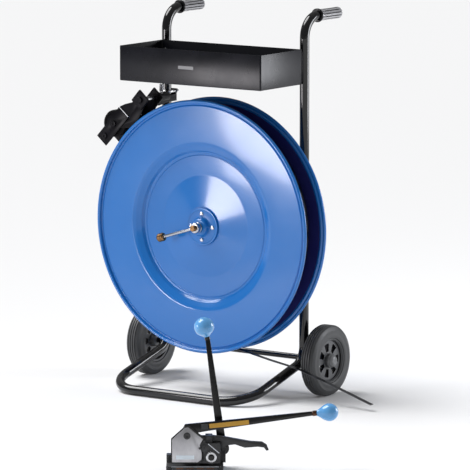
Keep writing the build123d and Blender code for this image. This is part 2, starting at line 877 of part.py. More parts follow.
with BuildPart() as roller_cheeks:
    for y in (arm_front_y, arm_back_y + arm_sheet):
        with BuildSketch(facing_front(0, y, 0)):
            Polygon(*cheek_outline, align=None)
            with Locations((roller_x, roller_z)):
                Circle(roller_pin_r, mode=Mode.SUBTRACT)
            with Locations((spacer_x, spacer_z)):
                Circle(spacer_r, mode=Mode.SUBTRACT)
        extrude(amount=arm_sheet)
finish(roller_cheeks, "roller_cheeks")

with BuildPart() as guide_blade:
    middle = ((slit_top[0] + slit_low[0]) / 2, (slit_top[1] + slit_low[1]) / 2)
    with BuildSketch(facing_front(0, arm_back_y + arm_sheet, 0)):
        with Locations(Location((middle[0], middle[1], 0), (0, 0, degrees(atan2(slit_dir[1], slit_dir[0]))))):
            Rectangle(slit_run - 4, blade_thickness)
    extrude(amount=arm_back_y - arm_front_y + 2 * arm_sheet)
finish(guide_blade, "guide_blade")

socket_r = 3.2
socket_head = 3.5
nut_height = 4

with BuildPart() as cheek_bolts:
    for x, z, r in ((roller_x, roller_z, roller_pin_r), (spacer_x, spacer_z, spacer_r)):
        with BuildSketch(facing_front(x, arm_back_y + arm_sheet, z)):
            Circle(r)
        extrude(amount=arm_back_y - arm_front_y + 2 * arm_sheet)
        with BuildSketch(facing_front(x, arm_front_y - arm_sheet, z)):
            Circle(r + 3)
            RegularPolygon(socket_r, 6, mode=Mode.SUBTRACT)
        extrude(amount=socket_head)
        with BuildSketch(facing_front(x, arm_front_y - arm_sheet, z)):
            Circle(r + 3)
        extrude(amount=1)
        with BuildSketch(facing_front(x, arm_back_y + arm_sheet, z)):
            RegularPolygon(r + 3, 6)
        extrude(amount=-nut_height)
finish(cheek_bolts, "cheek_bolts")

with BuildPart() as guide_roller:
    with BuildSketch(facing_front(roller_x, arm_inner_back - roller_side_gap, roller_z)):
        Circle(roller_r)
        Circle(roller_pin_r + running_gap, mode=Mode.SUBTRACT)
    extrude(amount=arm_inner_back - arm_inner_front - 2 * roller_side_gap)
    fillet(guide_roller.edges().filter_by(GeomType.CIRCLE).group_by(SortBy.RADIUS)[-1], 2.5)
finish(guide_roller, "guide_roller")

with BuildPart() as square_lugs:
    for y in (arm_front_y, hanger_front_y - side_gap):
        with BuildSketch(facing_front(pivot_x, y, pivot_z)):
            Rectangle(lug_size, lug_size, rotation=lug_turn)
            Circle(shaft_r, mode=Mode.SUBTRACT)
        extrude(amount=lug_thickness)
    chamfer(square_lugs.edges().filter_by(Axis.Y), 1.5)
finish(square_lugs, "square_lugs")

with BuildPart() as pivot_shaft:
    with BuildSketch(facing_front(pivot_x, hanger_back_y - 5, pivot_z)):
        Circle(shaft_r)
    extrude(amount=hanger_back_y - 5 - arm_front_y + lug_thickness)
    with BuildSketch(facing_front(pivot_x, arm_front_y - lug_thickness, pivot_z)):
        RegularPolygon(shaft_r + 4, 6)
    extrude(amount=5)
finish(pivot_shaft, "pivot_shaft")

spring_end_gap = 14
spring_low_z = pivot_z + spring_end_gap
spring_high_z = tray_bottom_z - spring_end_gap
with BuildPart() as arm_spring:
    with BuildSketch(facing_up(hook_x, hook_y - 2, spring_low_z)):
        Circle(spring_r + spring_wire_r)
        Circle(spring_r - spring_wire_r, mode=Mode.SUBTRACT)
    extrude(amount=spring_high_z - spring_low_z)
finish(arm_spring, "arm_spring")

# ---------------------------------------------------------------- strap tail
tail_angle = radians(-101.3)
tail_r = coil_outer_r + strap_gap + strap_thickness / 2
tail_start = (tail_r * cos(tail_angle), reel_z + tail_r * sin(tail_angle))
with BuildPart() as strap_tail:
    with BuildLine(facing_front(0, strap_plane_y, 0)) as tail_route:
        FilletPolyline(
            tail_start,
            (95, tail_start[1] - (95 - tail_start[0]) / tan(radians(78.7))),
            (203, 110),
            (300, 94),
            (400, 64),
            (470, 42),
            (542, 19),
            radius=[300, 400, 250, 300, 400],
        )
    with BuildSketch(Plane(origin=tail_route.line @ 0, x_dir=(0, 1, 0), z_dir=tail_route.line % 0)):
        Rectangle(strap_width, strap_thickness)
    sweep()
finish(strap_tail, "strap_tail")

# ---------------------------------------------------------------- hand tool
wall_back = -24.0
wall_front = -14.0
block_left = -4.0
block_right = 52.0
block_top = 72.0
block_front = plate_front - plate_thickness
slot_top = base_height + slot_height
plate_outline = [
    (-70.5, 23.5),
    (-70.5, 83),
    (-38, 112.5),
    (-28, 114),
    (8, 84),
    (0, 68.5),
    (5, 46.5),
    (4.5, 31),
    (-5, 23.5),
]
with BuildPart() as tool_base:
    with BuildSketch(on_tool(base_front - base_depth)):
        with Locations((base_left + base_length / 2, base_height / 2)):
            Rectangle(base_length, base_height)
    extrude(amount=base_depth)
    chamfer(tool_base.edges().filter_by(lambda e: abs(e.center().Z) < 0.1), 1.5)
    with BuildSketch(on_tool(base_front - base_depth)):
        with Locations((base_left + 9, base_height + 10)):
            Rectangle(18, 20)
    extrude(amount=base_depth + wall_front - base_front)
finish(tool_base, "tool_base")

with BuildPart() as tool_body:
    with BuildSketch(on_tool(wall_back)):
        Polygon(
            (-66, base_height),
            (-66, 80),
            (-38, 106),
            (-28, 108),
            (2, 84),
            (40, 84),
            (66, 60),
            (66, base_height),
            align=None,
        )
        with Locations((feed_s, feed_z)):
            Circle(feed_shaft_r + running_gap, mode=Mode.SUBTRACT)
        with Locations((sealing_s, sealing_z)):
            Circle(pivot_pin_r, mode=Mode.SUBTRACT)
    extrude(amount=wall_front - wall_back)
    with BuildSketch(on_tool(wall_front)):
        with Locations(((block_left + block_right) / 2, (slot_top + block_top) / 2)):
            Rectangle(block_right - block_left, block_top - slot_top)
    extrude(amount=block_front - wall_front)
    with BuildSketch(on_tool(wall_front)):
        with Locations((release_s - 1, block_top + 4)):
            Rectangle(18, 28)
    extrude(amount=8.5)
    with BuildSketch(on_tool(release_plane + release_thickness / 2 + layer_gap)):
        with Locations((release_s - 1, block_top + 4)):
            Rectangle(18, 28)
    extrude(amount=8)
    with BuildSketch(on_tool(wall_front)):
        with Locations((release_s, release_z)):
            Circle(3 + running_gap)
    extrude(amount=block_front - wall_front, mode=Mode.SUBTRACT)
finish(tool_body, "tool_body")

with BuildPart() as tool_side_plate:
    with BuildSketch(on_tool(block_front)):
        Polygon(*plate_outline, align=None)
    extrude(amount=plate_thickness)
    with BuildSketch(on_tool(block_front)):
        with Locations((feed_s, feed_z)):
            Circle(feed_shaft_r + running_gap)
    extrude(amount=plate_thickness - 1.5, mode=Mode.SUBTRACT)
finish(tool_side_plate, "tool_side_plate")

screw_places = [
    (feed_s + 0.5, 92.5, plate_front, 9.0, 3.0),
    (0.5, 60, plate_front, 3.0, 1.5),
    (11.5, 62, block_front, 6.3, 3.0),
    (46, 26, block_front, 3.5, 2.0),
    (base_left + 8, base_height + 12, wall_front, 5.0, 3.0),
]
with BuildPart() as tool_screws:
    for s, z, near, r, head in screw_places:
        with BuildSketch(on_tool(near)):
            with Locations((s, z)):
                Circle(r)
                RegularPolygon(r * 0.5, 6, mode=Mode.SUBTRACT)
        extrude(amount=head)
        with BuildSketch(on_tool(near)):
            with Locations((s, z)):
                Circle(r)
        extrude(amount=head / 3)
    for s, z, r, near, reach in (
        (sealing_s, sealing_z, pivot_pin_r, sealing_plane - sealing_thickness / 2 - 3, wall_front),
        (release_s, release_z, 3.0, wall_front, release_plane + release_thickness / 2 + 8),
    ):
        with BuildSketch(on_tool(near)):
            with Locations((s, z)):
                Circle(r)
        extrude(amount=reach - near)
    with BuildSketch(on_tool(sealing_plane - sealing_thickness / 2 - layer_gap)):
        with Locations((sealing_s, sealing_z)):
            Circle(pivot_pin_r + 4)
    extrude(amount=-3)
finish(tool_screws, "tool_screws")

with BuildPart() as tool_ring:
    with BuildSketch(on_tool(block_front)):
        with Locations((29.5, 36)):
            Circle(13.8)
            Circle(8.0, mode=Mode.SUBTRACT)
    extrude(amount=3)
    chamfer(tool_ring.edges().filter_by(GeomType.CIRCLE).sort_by(lambda e: e.radius)[-2:], 0.8)
finish(tool_ring, "tool_ring")

knurl_count = 36
ratchet_count = 12
ratchet_r = 18.0
with BuildPart() as feed_wheel:
    with BuildSketch(on_tool(wall_front + layer_gap)):
        with Locations((feed_s, feed_z)):
            Circle(feed_wheel_r)
            Circle(feed_shaft_r, mode=Mode.SUBTRACT)
            with PolarLocations(feed_wheel_r, knurl_count):
                Rectangle(1.2, 1.2, rotation=45, mode=Mode.SUBTRACT)
    extrude(amount=17)
    with BuildSketch(on_tool(wall_front + layer_gap + 17)):
        with Locations((feed_s, feed_z)):
            Circle(ratchet_r)
            Circle(feed_shaft_r, mode=Mode.SUBTRACT)
            with PolarLocations(ratchet_r, ratchet_count):
                Rectangle(3.5, 5, rotation=25, mode=Mode.SUBTRACT)
    extrude(amount=9)
finish(feed_wheel, "feed_wheel")

with BuildPart() as feed_shaft:
    with BuildSketch(on_tool(wall_back)):
        with Locations((feed_s, feed_z)):
            Circle(feed_shaft_r)
    extrude(amount=block_front + plate_thickness - 2 - wall_back)
finish(feed_shaft, "feed_shaft")

# the tension lever is cranked: a hub on the feed shaft, a neck behind the side plate and a long flat bar
bar_top_left = (-38, 120.5)
bar_top_right = (287, 153.7)
bar_low_right = (288.5, 143.5)
bar_low_left = (20.5, 103.5)
with BuildPart() as tension_lever:
    with BuildSketch(on_tool(tension_plane - tension_thickness / 2)):
        Polygon(
            (feed_s - 15, feed_z),
            (feed_s - 15, 100),
            bar_top_left,
            bar_top_right,
            bar_low_right,
            bar_low_left,
            (feed_s + 18, 97),
            (feed_s + 15, feed_z),
            align=None,
        )
        with Locations((feed_s, feed_z)):
            Circle(15)
            Circle(feed_shaft_r + running_gap, mode=Mode.SUBTRACT)
    extrude(amount=tension_thickness)
finish(tension_lever, "tension_lever")


def lever_end(start, knob, plane_near):
    # the plane at a lever's end whose local x runs along the lever and local y across it
    run = sqrt((knob[0] - start[0]) ** 2 + (knob[1] - start[1]) ** 2)
    along_s = (knob[0] - start[0]) / run
    along_z = (knob[1] - start[1]) / run
    frame = on_tool(plane_near, start[0], start[1])
    along = (tool_right[0] * along_s, tool_right[1] * along_s, along_z)
    return Plane(origin=frame.origin, x_dir=along, z_dir=tool_near), run


def ferrule(plane, start, r, length):
    with BuildPart() as ring:
        with BuildSketch(plane):
            with BuildLine():
                Polyline((start, 0), (start, r), (start + length, r), (start + length, 0), close=True)
            make_face()
        revolve(axis=Axis(plane.origin, plane.x_dir))
        chamfer(ring.edges().filter_by(GeomType.CIRCLE), 0.8)
    return ring


def pear_knob(plane, start, run, neck_r, ball_r):
    # a round ball that tapers to a neck: two arcs' worth of outline, turned about the lever
    touch = ball_r * 0.55
    with BuildPart() as knob:
        with BuildSketch(plane):
            with BuildLine():
                Line((start, 0), (start, neck_r))
                Line((start, neck_r), (run - touch, sqrt(ball_r**2 - touch**2)))
                ThreePointArc(
                    (run - touch, sqrt(ball_r**2 - touch**2)),
                    (run + ball_r * 0.5, ball_r * sqrt(0.75)),
                    (run + ball_r, 0),
                )
                Line((run + ball_r, 0), (start, 0))
            make_face()
        revolve(axis=Axis(plane.origin, plane.x_dir))
    return knob


ferrule_length = 11.0
tension_start = ((bar_top_right[0] + bar_low_right[0]) / 2, (bar_top_right[1] + bar_low_right[1]) / 2)
tension_end, tension_run = lever_end(tension_start, (tension_knob_s, tension_knob_z), tension_plane)
with BuildPart() as tension_ferrule:
    add(ferrule(tension_end, 0, 7.0, ferrule_length).part)
    with BuildSketch(on_tool(tension_plane - tension_thickness / 2)):
        Polygon((200, 145), bar_top_right, bar_low_right, (200, 120), align=None)
    extrude(amount=tension_thickness, mode=Mode.SUBTRACT)
finish(tension_ferrule, "tension_ferrule")
tension_knob = pear_knob(tension_end, ferrule_length, tension_run, 7.5, tension_knob_r)
finish(tension_knob, "tension_knob")

sealing_top_left = (14, 331)
sealing_top_right = (26, 332.5)
sealing_low_left = (44, 70)
sealing_low_right = (66, 70)
with BuildPart() as sealing_lever:
    with BuildSketch(on_tool(sealing_plane - sealing_thickness / 2)):
        Polygon(sealing_low_left, sealing_top_left, sealing_top_right, sealing_low_right, align=None)
        with Locations((sealing_s, sealing_z)):
            Circle(17)
        Polygon(sealing_low_left, sealing_low_right, (74, 45), (42, 45), align=None)
        with Locations((sealing_s, sealing_z)):
            Circle(pivot_pin_r + running_gap, mode=Mode.SUBTRACT)
    extrude(amount=sealing_thickness)
finish(sealing_lever, "sealing_lever")

sealing_start_s = (sealing_top_left[0] + sealing_top_right[0]) / 2
sealing_start = (sealing_start_s, (sealing_top_left[1] + sealing_top_right[1]) / 2)
sealing_end, sealing_run = lever_end(sealing_start, (sealing_knob_s, sealing_knob_z), sealing_plane)
with BuildPart() as sealing_ferrule:
    add(ferrule(sealing_end, -1, 7.0, 8.0).part)
    with BuildSketch(on_tool(sealing_plane - sealing_thickness / 2)):
        Polygon((0, 250), sealing_top_left, sealing_top_right, (60, 250), align=None)
    extrude(amount=sealing_thickness, mode=Mode.SUBTRACT)
finish(sealing_ferrule, "sealing_ferrule")
sealing_knob = pear_knob(sealing_end, 7.0, sealing_run, 7.5, sealing_knob_r)
finish(sealing_knob, "sealing_knob")

release_outline = [
    (17, 78),
    (17, 88),
    (24, 90),
    (66, 85),
    (128, 73.5),
    (159, 71.5),
    (171, 64),
    (176, 51),
    (170, 50),
    (164, 58),
    (148, 60),
    (115, 57.5),
    (90, 66),
    (66, 63),
    (58, 55),
    (54.5, 60),
    (54.5, 74),
    (40, 76),
]
with BuildPart() as release_lever:
    with BuildSketch(on_tool(release_plane - release_thickness / 2)):
        Polygon(*release_outline, align=None)
        with Locations((release_s, release_z)):
            Circle(3 + running_gap, mode=Mode.SUBTRACT)
    extrude(amount=release_thickness)
finish(release_lever, "release_lever")
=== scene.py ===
import json
import math
import random

import bmesh
import bpy
from mathutils import Matrix, Vector

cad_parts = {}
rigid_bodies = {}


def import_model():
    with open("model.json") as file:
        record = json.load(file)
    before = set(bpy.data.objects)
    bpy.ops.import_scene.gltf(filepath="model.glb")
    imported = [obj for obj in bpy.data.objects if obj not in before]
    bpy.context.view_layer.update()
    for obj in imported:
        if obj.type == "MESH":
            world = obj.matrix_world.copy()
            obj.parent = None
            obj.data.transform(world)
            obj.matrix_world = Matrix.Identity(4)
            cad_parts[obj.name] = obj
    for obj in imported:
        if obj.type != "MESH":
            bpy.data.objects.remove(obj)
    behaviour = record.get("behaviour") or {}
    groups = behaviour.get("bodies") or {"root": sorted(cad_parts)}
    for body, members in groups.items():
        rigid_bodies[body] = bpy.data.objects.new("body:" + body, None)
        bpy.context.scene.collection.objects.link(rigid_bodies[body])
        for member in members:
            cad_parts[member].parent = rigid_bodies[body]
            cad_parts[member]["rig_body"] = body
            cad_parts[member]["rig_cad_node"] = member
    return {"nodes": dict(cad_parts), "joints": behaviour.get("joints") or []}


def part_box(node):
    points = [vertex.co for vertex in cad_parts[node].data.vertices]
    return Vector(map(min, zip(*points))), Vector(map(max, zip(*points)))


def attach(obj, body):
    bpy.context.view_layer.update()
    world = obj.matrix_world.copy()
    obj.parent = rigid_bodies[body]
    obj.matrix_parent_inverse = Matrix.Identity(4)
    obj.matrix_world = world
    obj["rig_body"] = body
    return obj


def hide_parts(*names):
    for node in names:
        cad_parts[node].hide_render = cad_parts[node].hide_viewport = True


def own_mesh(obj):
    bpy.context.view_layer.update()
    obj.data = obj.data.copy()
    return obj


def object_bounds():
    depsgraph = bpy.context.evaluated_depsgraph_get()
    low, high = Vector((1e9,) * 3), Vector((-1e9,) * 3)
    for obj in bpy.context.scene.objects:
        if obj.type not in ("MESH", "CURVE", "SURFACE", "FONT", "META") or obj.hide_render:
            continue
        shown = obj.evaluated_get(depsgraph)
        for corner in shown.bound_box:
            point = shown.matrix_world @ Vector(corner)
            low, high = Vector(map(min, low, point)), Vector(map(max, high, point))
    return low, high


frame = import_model()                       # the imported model: bodies, nodes, joints and record
cadLow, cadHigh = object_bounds()
joint = {j["name"]: j for j in frame["joints"]}
up = Vector((0, 0, 1))
front = Vector((0, -1, 0))
print("stage 1: frame loaded,", len(frame["nodes"]), "nodes")


# modelling helpers
def deselectAll():
    if bpy.context.object and bpy.context.object.mode != "OBJECT":
        bpy.ops.object.mode_set(mode="OBJECT")
    bpy.ops.object.select_all(action="DESELECT")


def makeActive(piece):
    deselectAll()
    piece.select_set(True)
    bpy.context.view_layer.objects.active = piece


def startEdit(piece):
    makeActive(piece)
    bpy.ops.object.mode_set(mode="EDIT")
    bpy.ops.mesh.select_mode(type="VERT")
    bpy.ops.mesh.select_all(action="DESELECT")


def pickFaces(piece, wanted):
    # in edit mode: selects the faces for which wanted(face) is true
    shape = bmesh.from_edit_mesh(piece.data)
    for face in shape.faces:
        face.select_set(bool(wanted(face)))
    bmesh.update_edit_mesh(piece.data)


def pickEdges(piece, wanted):
    bpy.ops.mesh.select_mode(type="EDGE")
    shape = bmesh.from_edit_mesh(piece.data)
    for edge in shape.edges:
        edge.select_set(bool(wanted(edge)))
    bmesh.update_edit_mesh(piece.data)


def finishEdit():
    bpy.ops.object.mode_set(mode="OBJECT")


def finishShape():
    # every face looks outward
    bpy.ops.mesh.select_all(action="SELECT")
    bpy.ops.mesh.normals_make_consistent(inside=False)
    finishEdit()


def settle(piece, origin=(0, 0, 0), right=None, upward=None):
    # turns the piece so that its local X and Y run along right and upward, then applies its place
    turn = Matrix.Identity(4)
    if right is not None:
        x = Vector(right).normalized()
        y = Vector(upward).normalized()
        turn = Matrix((x, y, x.cross(y))).transposed().to_4x4()
    piece.matrix_world = Matrix.Translation(Vector(origin)) @ turn
    makeActive(piece)
    bpy.ops.object.transform_apply(location=True, rotation=True, scale=True)


def applyModifier(piece, kind, **settings):
    makeActive(piece)
    modifier = piece.modifiers.new(kind.lower(), kind)
    for key, value in settings.items():
        setattr(modifier, key, value)
    bpy.ops.object.modifier_apply(modifier=modifier.name)


def softenEdges(piece, width, segments=2, angle=32):
    applyModifier(piece, "BEVEL", width=width, segments=segments, limit_method="ANGLE",
        angle_limit=math.radians(angle), harden_normals=False)


def smooth(piece, angle=40):
    makeActive(piece)
    bpy.ops.object.shade_smooth_by_angle(angle=math.radians(angle))


def roundCorners(corners, steps=5):
    # corners are (a, b, radius): each one with a radius becomes a short arc
    made = []
    for i, (a, b, radius) in enumerate(corners):
        if not radius:
            made.append((a, b))
            continue
        here = Vector((a, b))
        toBefore = Vector(corners[i - 1][:2]) - here
        toAfter = Vector(corners[(i + 1) % len(corners)][:2]) - here
        half = toBefore.angle(toAfter) / 2
        back = min(radius / math.tan(half), 0.49 * toBefore.length, 0.49 * toAfter.length)
        reach = back / math.cos(half)
        centre = here + (toBefore.normalized() + toAfter.normalized()).normalized() * reach
        start = here + toBefore.normalized() * back - centre
        end = here + toAfter.normalized() * back - centre
        sweep = start.angle_signed(end)
        for k in range(steps + 1):
            turn = -sweep * k / steps
            made.append((centre.x + start.x * math.cos(turn) - start.y * math.sin(turn),
                centre.y + start.x * math.sin(turn) + start.y * math.cos(turn)))
    return made


def turned(name, profile, centre, axis, sides=64, closed=False, flutes=None, angle=40):
    # profile is (radius, height): a circle is added, then extruded, moved and widened point by point
    deselectAll()
    firstRadius, firstHeight = profile[0]
    bpy.ops.mesh.primitive_circle_add(vertices=sides, radius=firstRadius, location=(0, 0, firstHeight),
        fill_type="NOTHING" if closed else "NGON")
    piece = bpy.context.object
    piece.name = name
    bpy.ops.object.transform_apply(location=True)
    if flutes:
        count, depth = flutes
        each = sides // count
        startEdit(piece)
        shape = bmesh.from_edit_mesh(piece.data)
        shape.verts.ensure_lookup_table()
        for vert in shape.verts:
            vert.select_set(vert.index % each < max(1, each // 4))
        bmesh.update_edit_mesh(piece.data)
        bpy.ops.transform.resize(value=(1 - depth, 1 - depth, 1), center_override=(0, 0, 0))
    else:
        startEdit(piece)
    bpy.ops.mesh.select_all(action="SELECT")
    for (radius, height), (nextRadius, nextHeight) in zip(profile, profile[1:]):
        bpy.ops.mesh.extrude_region_move(TRANSFORM_OT_translate={"value": (0, 0, nextHeight - height)})
        wider = nextRadius / radius
        bpy.ops.transform.resize(value=(wider, wider, 1), center_override=(0, 0, 0))
    bpy.ops.mesh.select_all(action="SELECT")
    bpy.ops.mesh.remove_doubles(threshold=0.000002)
    finishShape()
    along = Vector(axis).normalized()
    side = along.orthogonal().normalized()
    settle(piece, centre, side, along.cross(side))
    smooth(piece, angle)
    return piece


def roundedBox(wide, high, radius):
    return roundCorners([(a * wide / 2, b * high / 2, radius) for a, b in ((-1, -1), (1, -1), (1, 1), (-1, 1))],
        3)


def plate(name, outline, thickness, origin, right, upward, width=0.0006, segments=2):
    # a flat face with these corners, extruded along right x upward and softened all round
    deselectAll()
    bpy.ops.mesh.primitive_circle_add(vertices=len(outline), radius=0.1, fill_type="NGON")
    piece = bpy.context.object
    piece.name = name
    for corner, (a, b) in zip(piece.data.vertices, outline):
        corner.co = (a, b, 0)
    startEdit(piece)
    bpy.ops.mesh.select_all(action="SELECT")
    bpy.ops.mesh.extrude_region_move(TRANSFORM_OT_translate={"value": (0, 0, thickness)})
    finishShape()
    if width:
        softenEdges(piece, width, segments)
    settle(piece, origin, right, upward)
    smooth(piece)
    return piece


def polished(node, name, width=0.0005, segments=2, angle=32):
    # a merged copy of a node whose edges are broken as a file or a press breaks them
    makeActive(frame["nodes"][node])
    bpy.ops.object.duplicate()
    piece = bpy.context.object
    piece.name = name
    piece.parent = None
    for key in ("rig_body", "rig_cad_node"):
        del piece[key]
    piece.matrix_world = Matrix.Identity(4)
    startEdit(piece)
    bpy.ops.mesh.select_all(action="SELECT")
    bpy.ops.mesh.remove_doubles(threshold=0.000005)
    bpy.ops.mesh.dissolve_limited(angle_limit=math.radians(0.6))
    finishEdit()
    bpy.ops.mesh.customdata_custom_splitnormals_clear()
    if width:
        softenEdges(piece, width, segments, angle)
    smooth(piece, angle)
    return piece


def joined(name, parts):
    deselectAll()
    for part in parts:
        part.select_set(True)
    bpy.context.view_layer.objects.active = parts[0]
    if len(parts) > 1:
        bpy.ops.object.join()
    piece = bpy.context.object
    piece.name = name
    return piece


def copyOf(piece, name, change):
    # a copy with its own mesh, moved or mirrored by the matrix change
    makeActive(piece)
    bpy.ops.object.duplicate()
    twin = bpy.context.object
    twin.name = name
    twin.matrix_world = change
    bpy.ops.object.transform_apply(location=True, rotation=True, scale=True)
    if change.determinant() < 0:
        startEdit(twin)
        bpy.ops.mesh.select_all(action="SELECT")
        bpy.ops.mesh.flip_normals()
        finishEdit()
    return twin


def fit(piece, body, finish, slotName, *nodes):
    # the piece rides on its body, takes its finish and stands for these nodes
    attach(piece, body)
    if nodes:
        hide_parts(*nodes)
    if finish:
        piece.data.materials.clear()
        piece.data.materials.append(look[finish])
    return piece


# finishes
def newGroup(name, inputs, outputs):
    group = bpy.data.node_groups.new(name, "ShaderNodeTree")
    for label, kind, value in inputs:
        socket = group.interface.new_socket(name=label, in_out="INPUT", socket_type=kind)
        socket.default_value = value
    for label, kind in outputs:
        group.interface.new_socket(name=label, in_out="OUTPUT", socket_type=kind)
    taken = group.nodes.new("NodeGroupInput").outputs
    given = group.nodes.new("NodeGroupOutput").inputs
    return group, taken, given


def addNode(tree, kind, **values):
    # a value that is a socket is linked, and any other value is set
    node = tree.nodes.new(kind)
    for key, value in values.items():
        if hasattr(node, key):
            setattr(node, key, value)
        elif isinstance(value, bpy.types.NodeSocket):
            tree.links.new(value, node.inputs[key.replace("_", " ")])
        else:
            node.inputs[key.replace("_", " ")].default_value = value
    return node


def link(tree, source, target):
    tree.links.new(source, target)


def addNoise(tree, vector, **values):
    return addNode(tree, "ShaderNodeTexNoise", Vector=vector, **values).outputs["Fac"]


def addRange(tree, value, **limits):
    return addNode(tree, "ShaderNodeMapRange", Value=value, **limits).outputs["Result"]


def multiply(tree, first, second):
    node = addNode(tree, "ShaderNodeMath", operation="MULTIPLY")
    link(tree, first, node.inputs[0])
    link(tree, second, node.inputs[1])
    return node.outputs["Value"]


def mixColours(tree, share, first, second):
    node = addNode(tree, "ShaderNodeMix", data_type="RGBA", Factor=share)
    link(tree, first, node.inputs[6])
    link(tree, second, node.inputs[7])
    return node.outputs[2]


surfaceOutputs = [("Colour", "NodeSocketColor"), ("Roughness", "NodeSocketFloat"),
    ("Normal", "NodeSocketVector")]
twoColours = [("Colour", "NodeSocketColor", (0.5, 0.5, 0.5, 1)),
    ("Second", "NodeSocketColor", (0.4, 0.4, 0.4, 1))]
twoGlosses = [("Smooth", "NodeSocketFloat", 0.2), ("Rough", "NodeSocketFloat", 0.4)]


def giveSurface(group, taken, given, share, height):
    # share runs from the first colour and the smooth value to the second colour and the rough value
    gloss = addRange(group, share, To_Min=taken["Smooth"], To_Max=taken["Rough"])
    bump = addNode(group, "ShaderNodeBump", Strength=1.0, Height=height, Distance=taken["Relief Height"])
    link(group, mixColours(group, share, taken["Colour"], taken["Second"]), given["Colour"])
    link(group, gloss, given["Roughness"])
    link(group, bump.outputs["Normal"], given["Normal"])


def makeSkinGroup():
    # uneven colour, uneven gloss and a fine relief, for paint, plastic and castings
    scales = [("Patch Scale", "NodeSocketFloat", 9.0), ("Relief Scale", "NodeSocketFloat", 500.0),
              ("Relief Height", "NodeSocketFloat", 0.00002)]
    group, taken, given = newGroup("unevenSkin", twoColours + scales + twoGlosses, surfaceOutputs)
    place = addNode(group, "ShaderNodeTexCoord").outputs["Object"]
    patches = addNoise(group, place, Detail=6.0, Roughness=0.6, Scale=taken["Patch Scale"])
    relief = addNoise(group, place, Detail=3.0, Roughness=0.55, Scale=taken["Relief Scale"])
    giveSurface(group, taken, given, addRange(group, patches, From_Min=0.36, From_Max=0.64), relief)
    return group


def makeBrushedGroup():
    # long scratches along one direction, for turned, ground and rolled metal
    lengths = [("Stretch", "NodeSocketVector", (400, 40, 400)), ("Relief Height", "NodeSocketFloat", 0.00001)]
    group, taken, given = newGroup("brushedLines", twoColours + lengths + twoGlosses, surfaceOutputs)
    place = addNode(group, "ShaderNodeTexCoord").outputs["Object"]
    stretched = addNode(group, "ShaderNodeMapping", Vector=place, Scale=taken["Stretch"]).outputs["Vector"]
    lines = addNoise(group, stretched, Scale=1.0, Detail=5.0, Roughness=0.7)
    clouds = addNoise(group, place, Scale=35.0, Detail=4.0)
    share = addRange(group, multiply(group, lines, clouds), From_Min=0.12, From_Max=0.42)
    giveSurface(group, taken, given, share, lines)
    return group


def makeDustGroup():
    # a thin grey dust that settles on what faces up, broken by noise
    group, taken, given = newGroup("settledDust", [twoColours[0],
        ("Dust Colour", "NodeSocketColor", (0.55, 0.53, 0.5, 1)), ("Amount", "NodeSocketFloat", 0.15)],
        [("Colour", "NodeSocketColor"), ("Mask", "NodeSocketFloat")])
    place = addNode(group, "ShaderNodeTexCoord")
    apart = addNode(group, "ShaderNodeSeparateXYZ", Vector=place.outputs["Normal"])
    facing = addRange(group, apart.outputs["Z"], From_Min=0.3, From_Max=1.0)
    specks = addNoise(group, place.outputs["Object"], Scale=90.0, Detail=8.0, Roughness=0.7)
    broken = addRange(group, specks, From_Min=0.35, From_Max=0.7)
    amount = multiply(group, multiply(group, facing, broken), taken["Amount"])
    link(group, mixColours(group, amount, taken["Colour"], taken["Dust Colour"]), given["Colour"])
    link(group, amount, given["Mask"])
    return group


skinGroup = makeSkinGroup()
brushedGroup = makeBrushedGroup()
dustGroup = makeDustGroup()

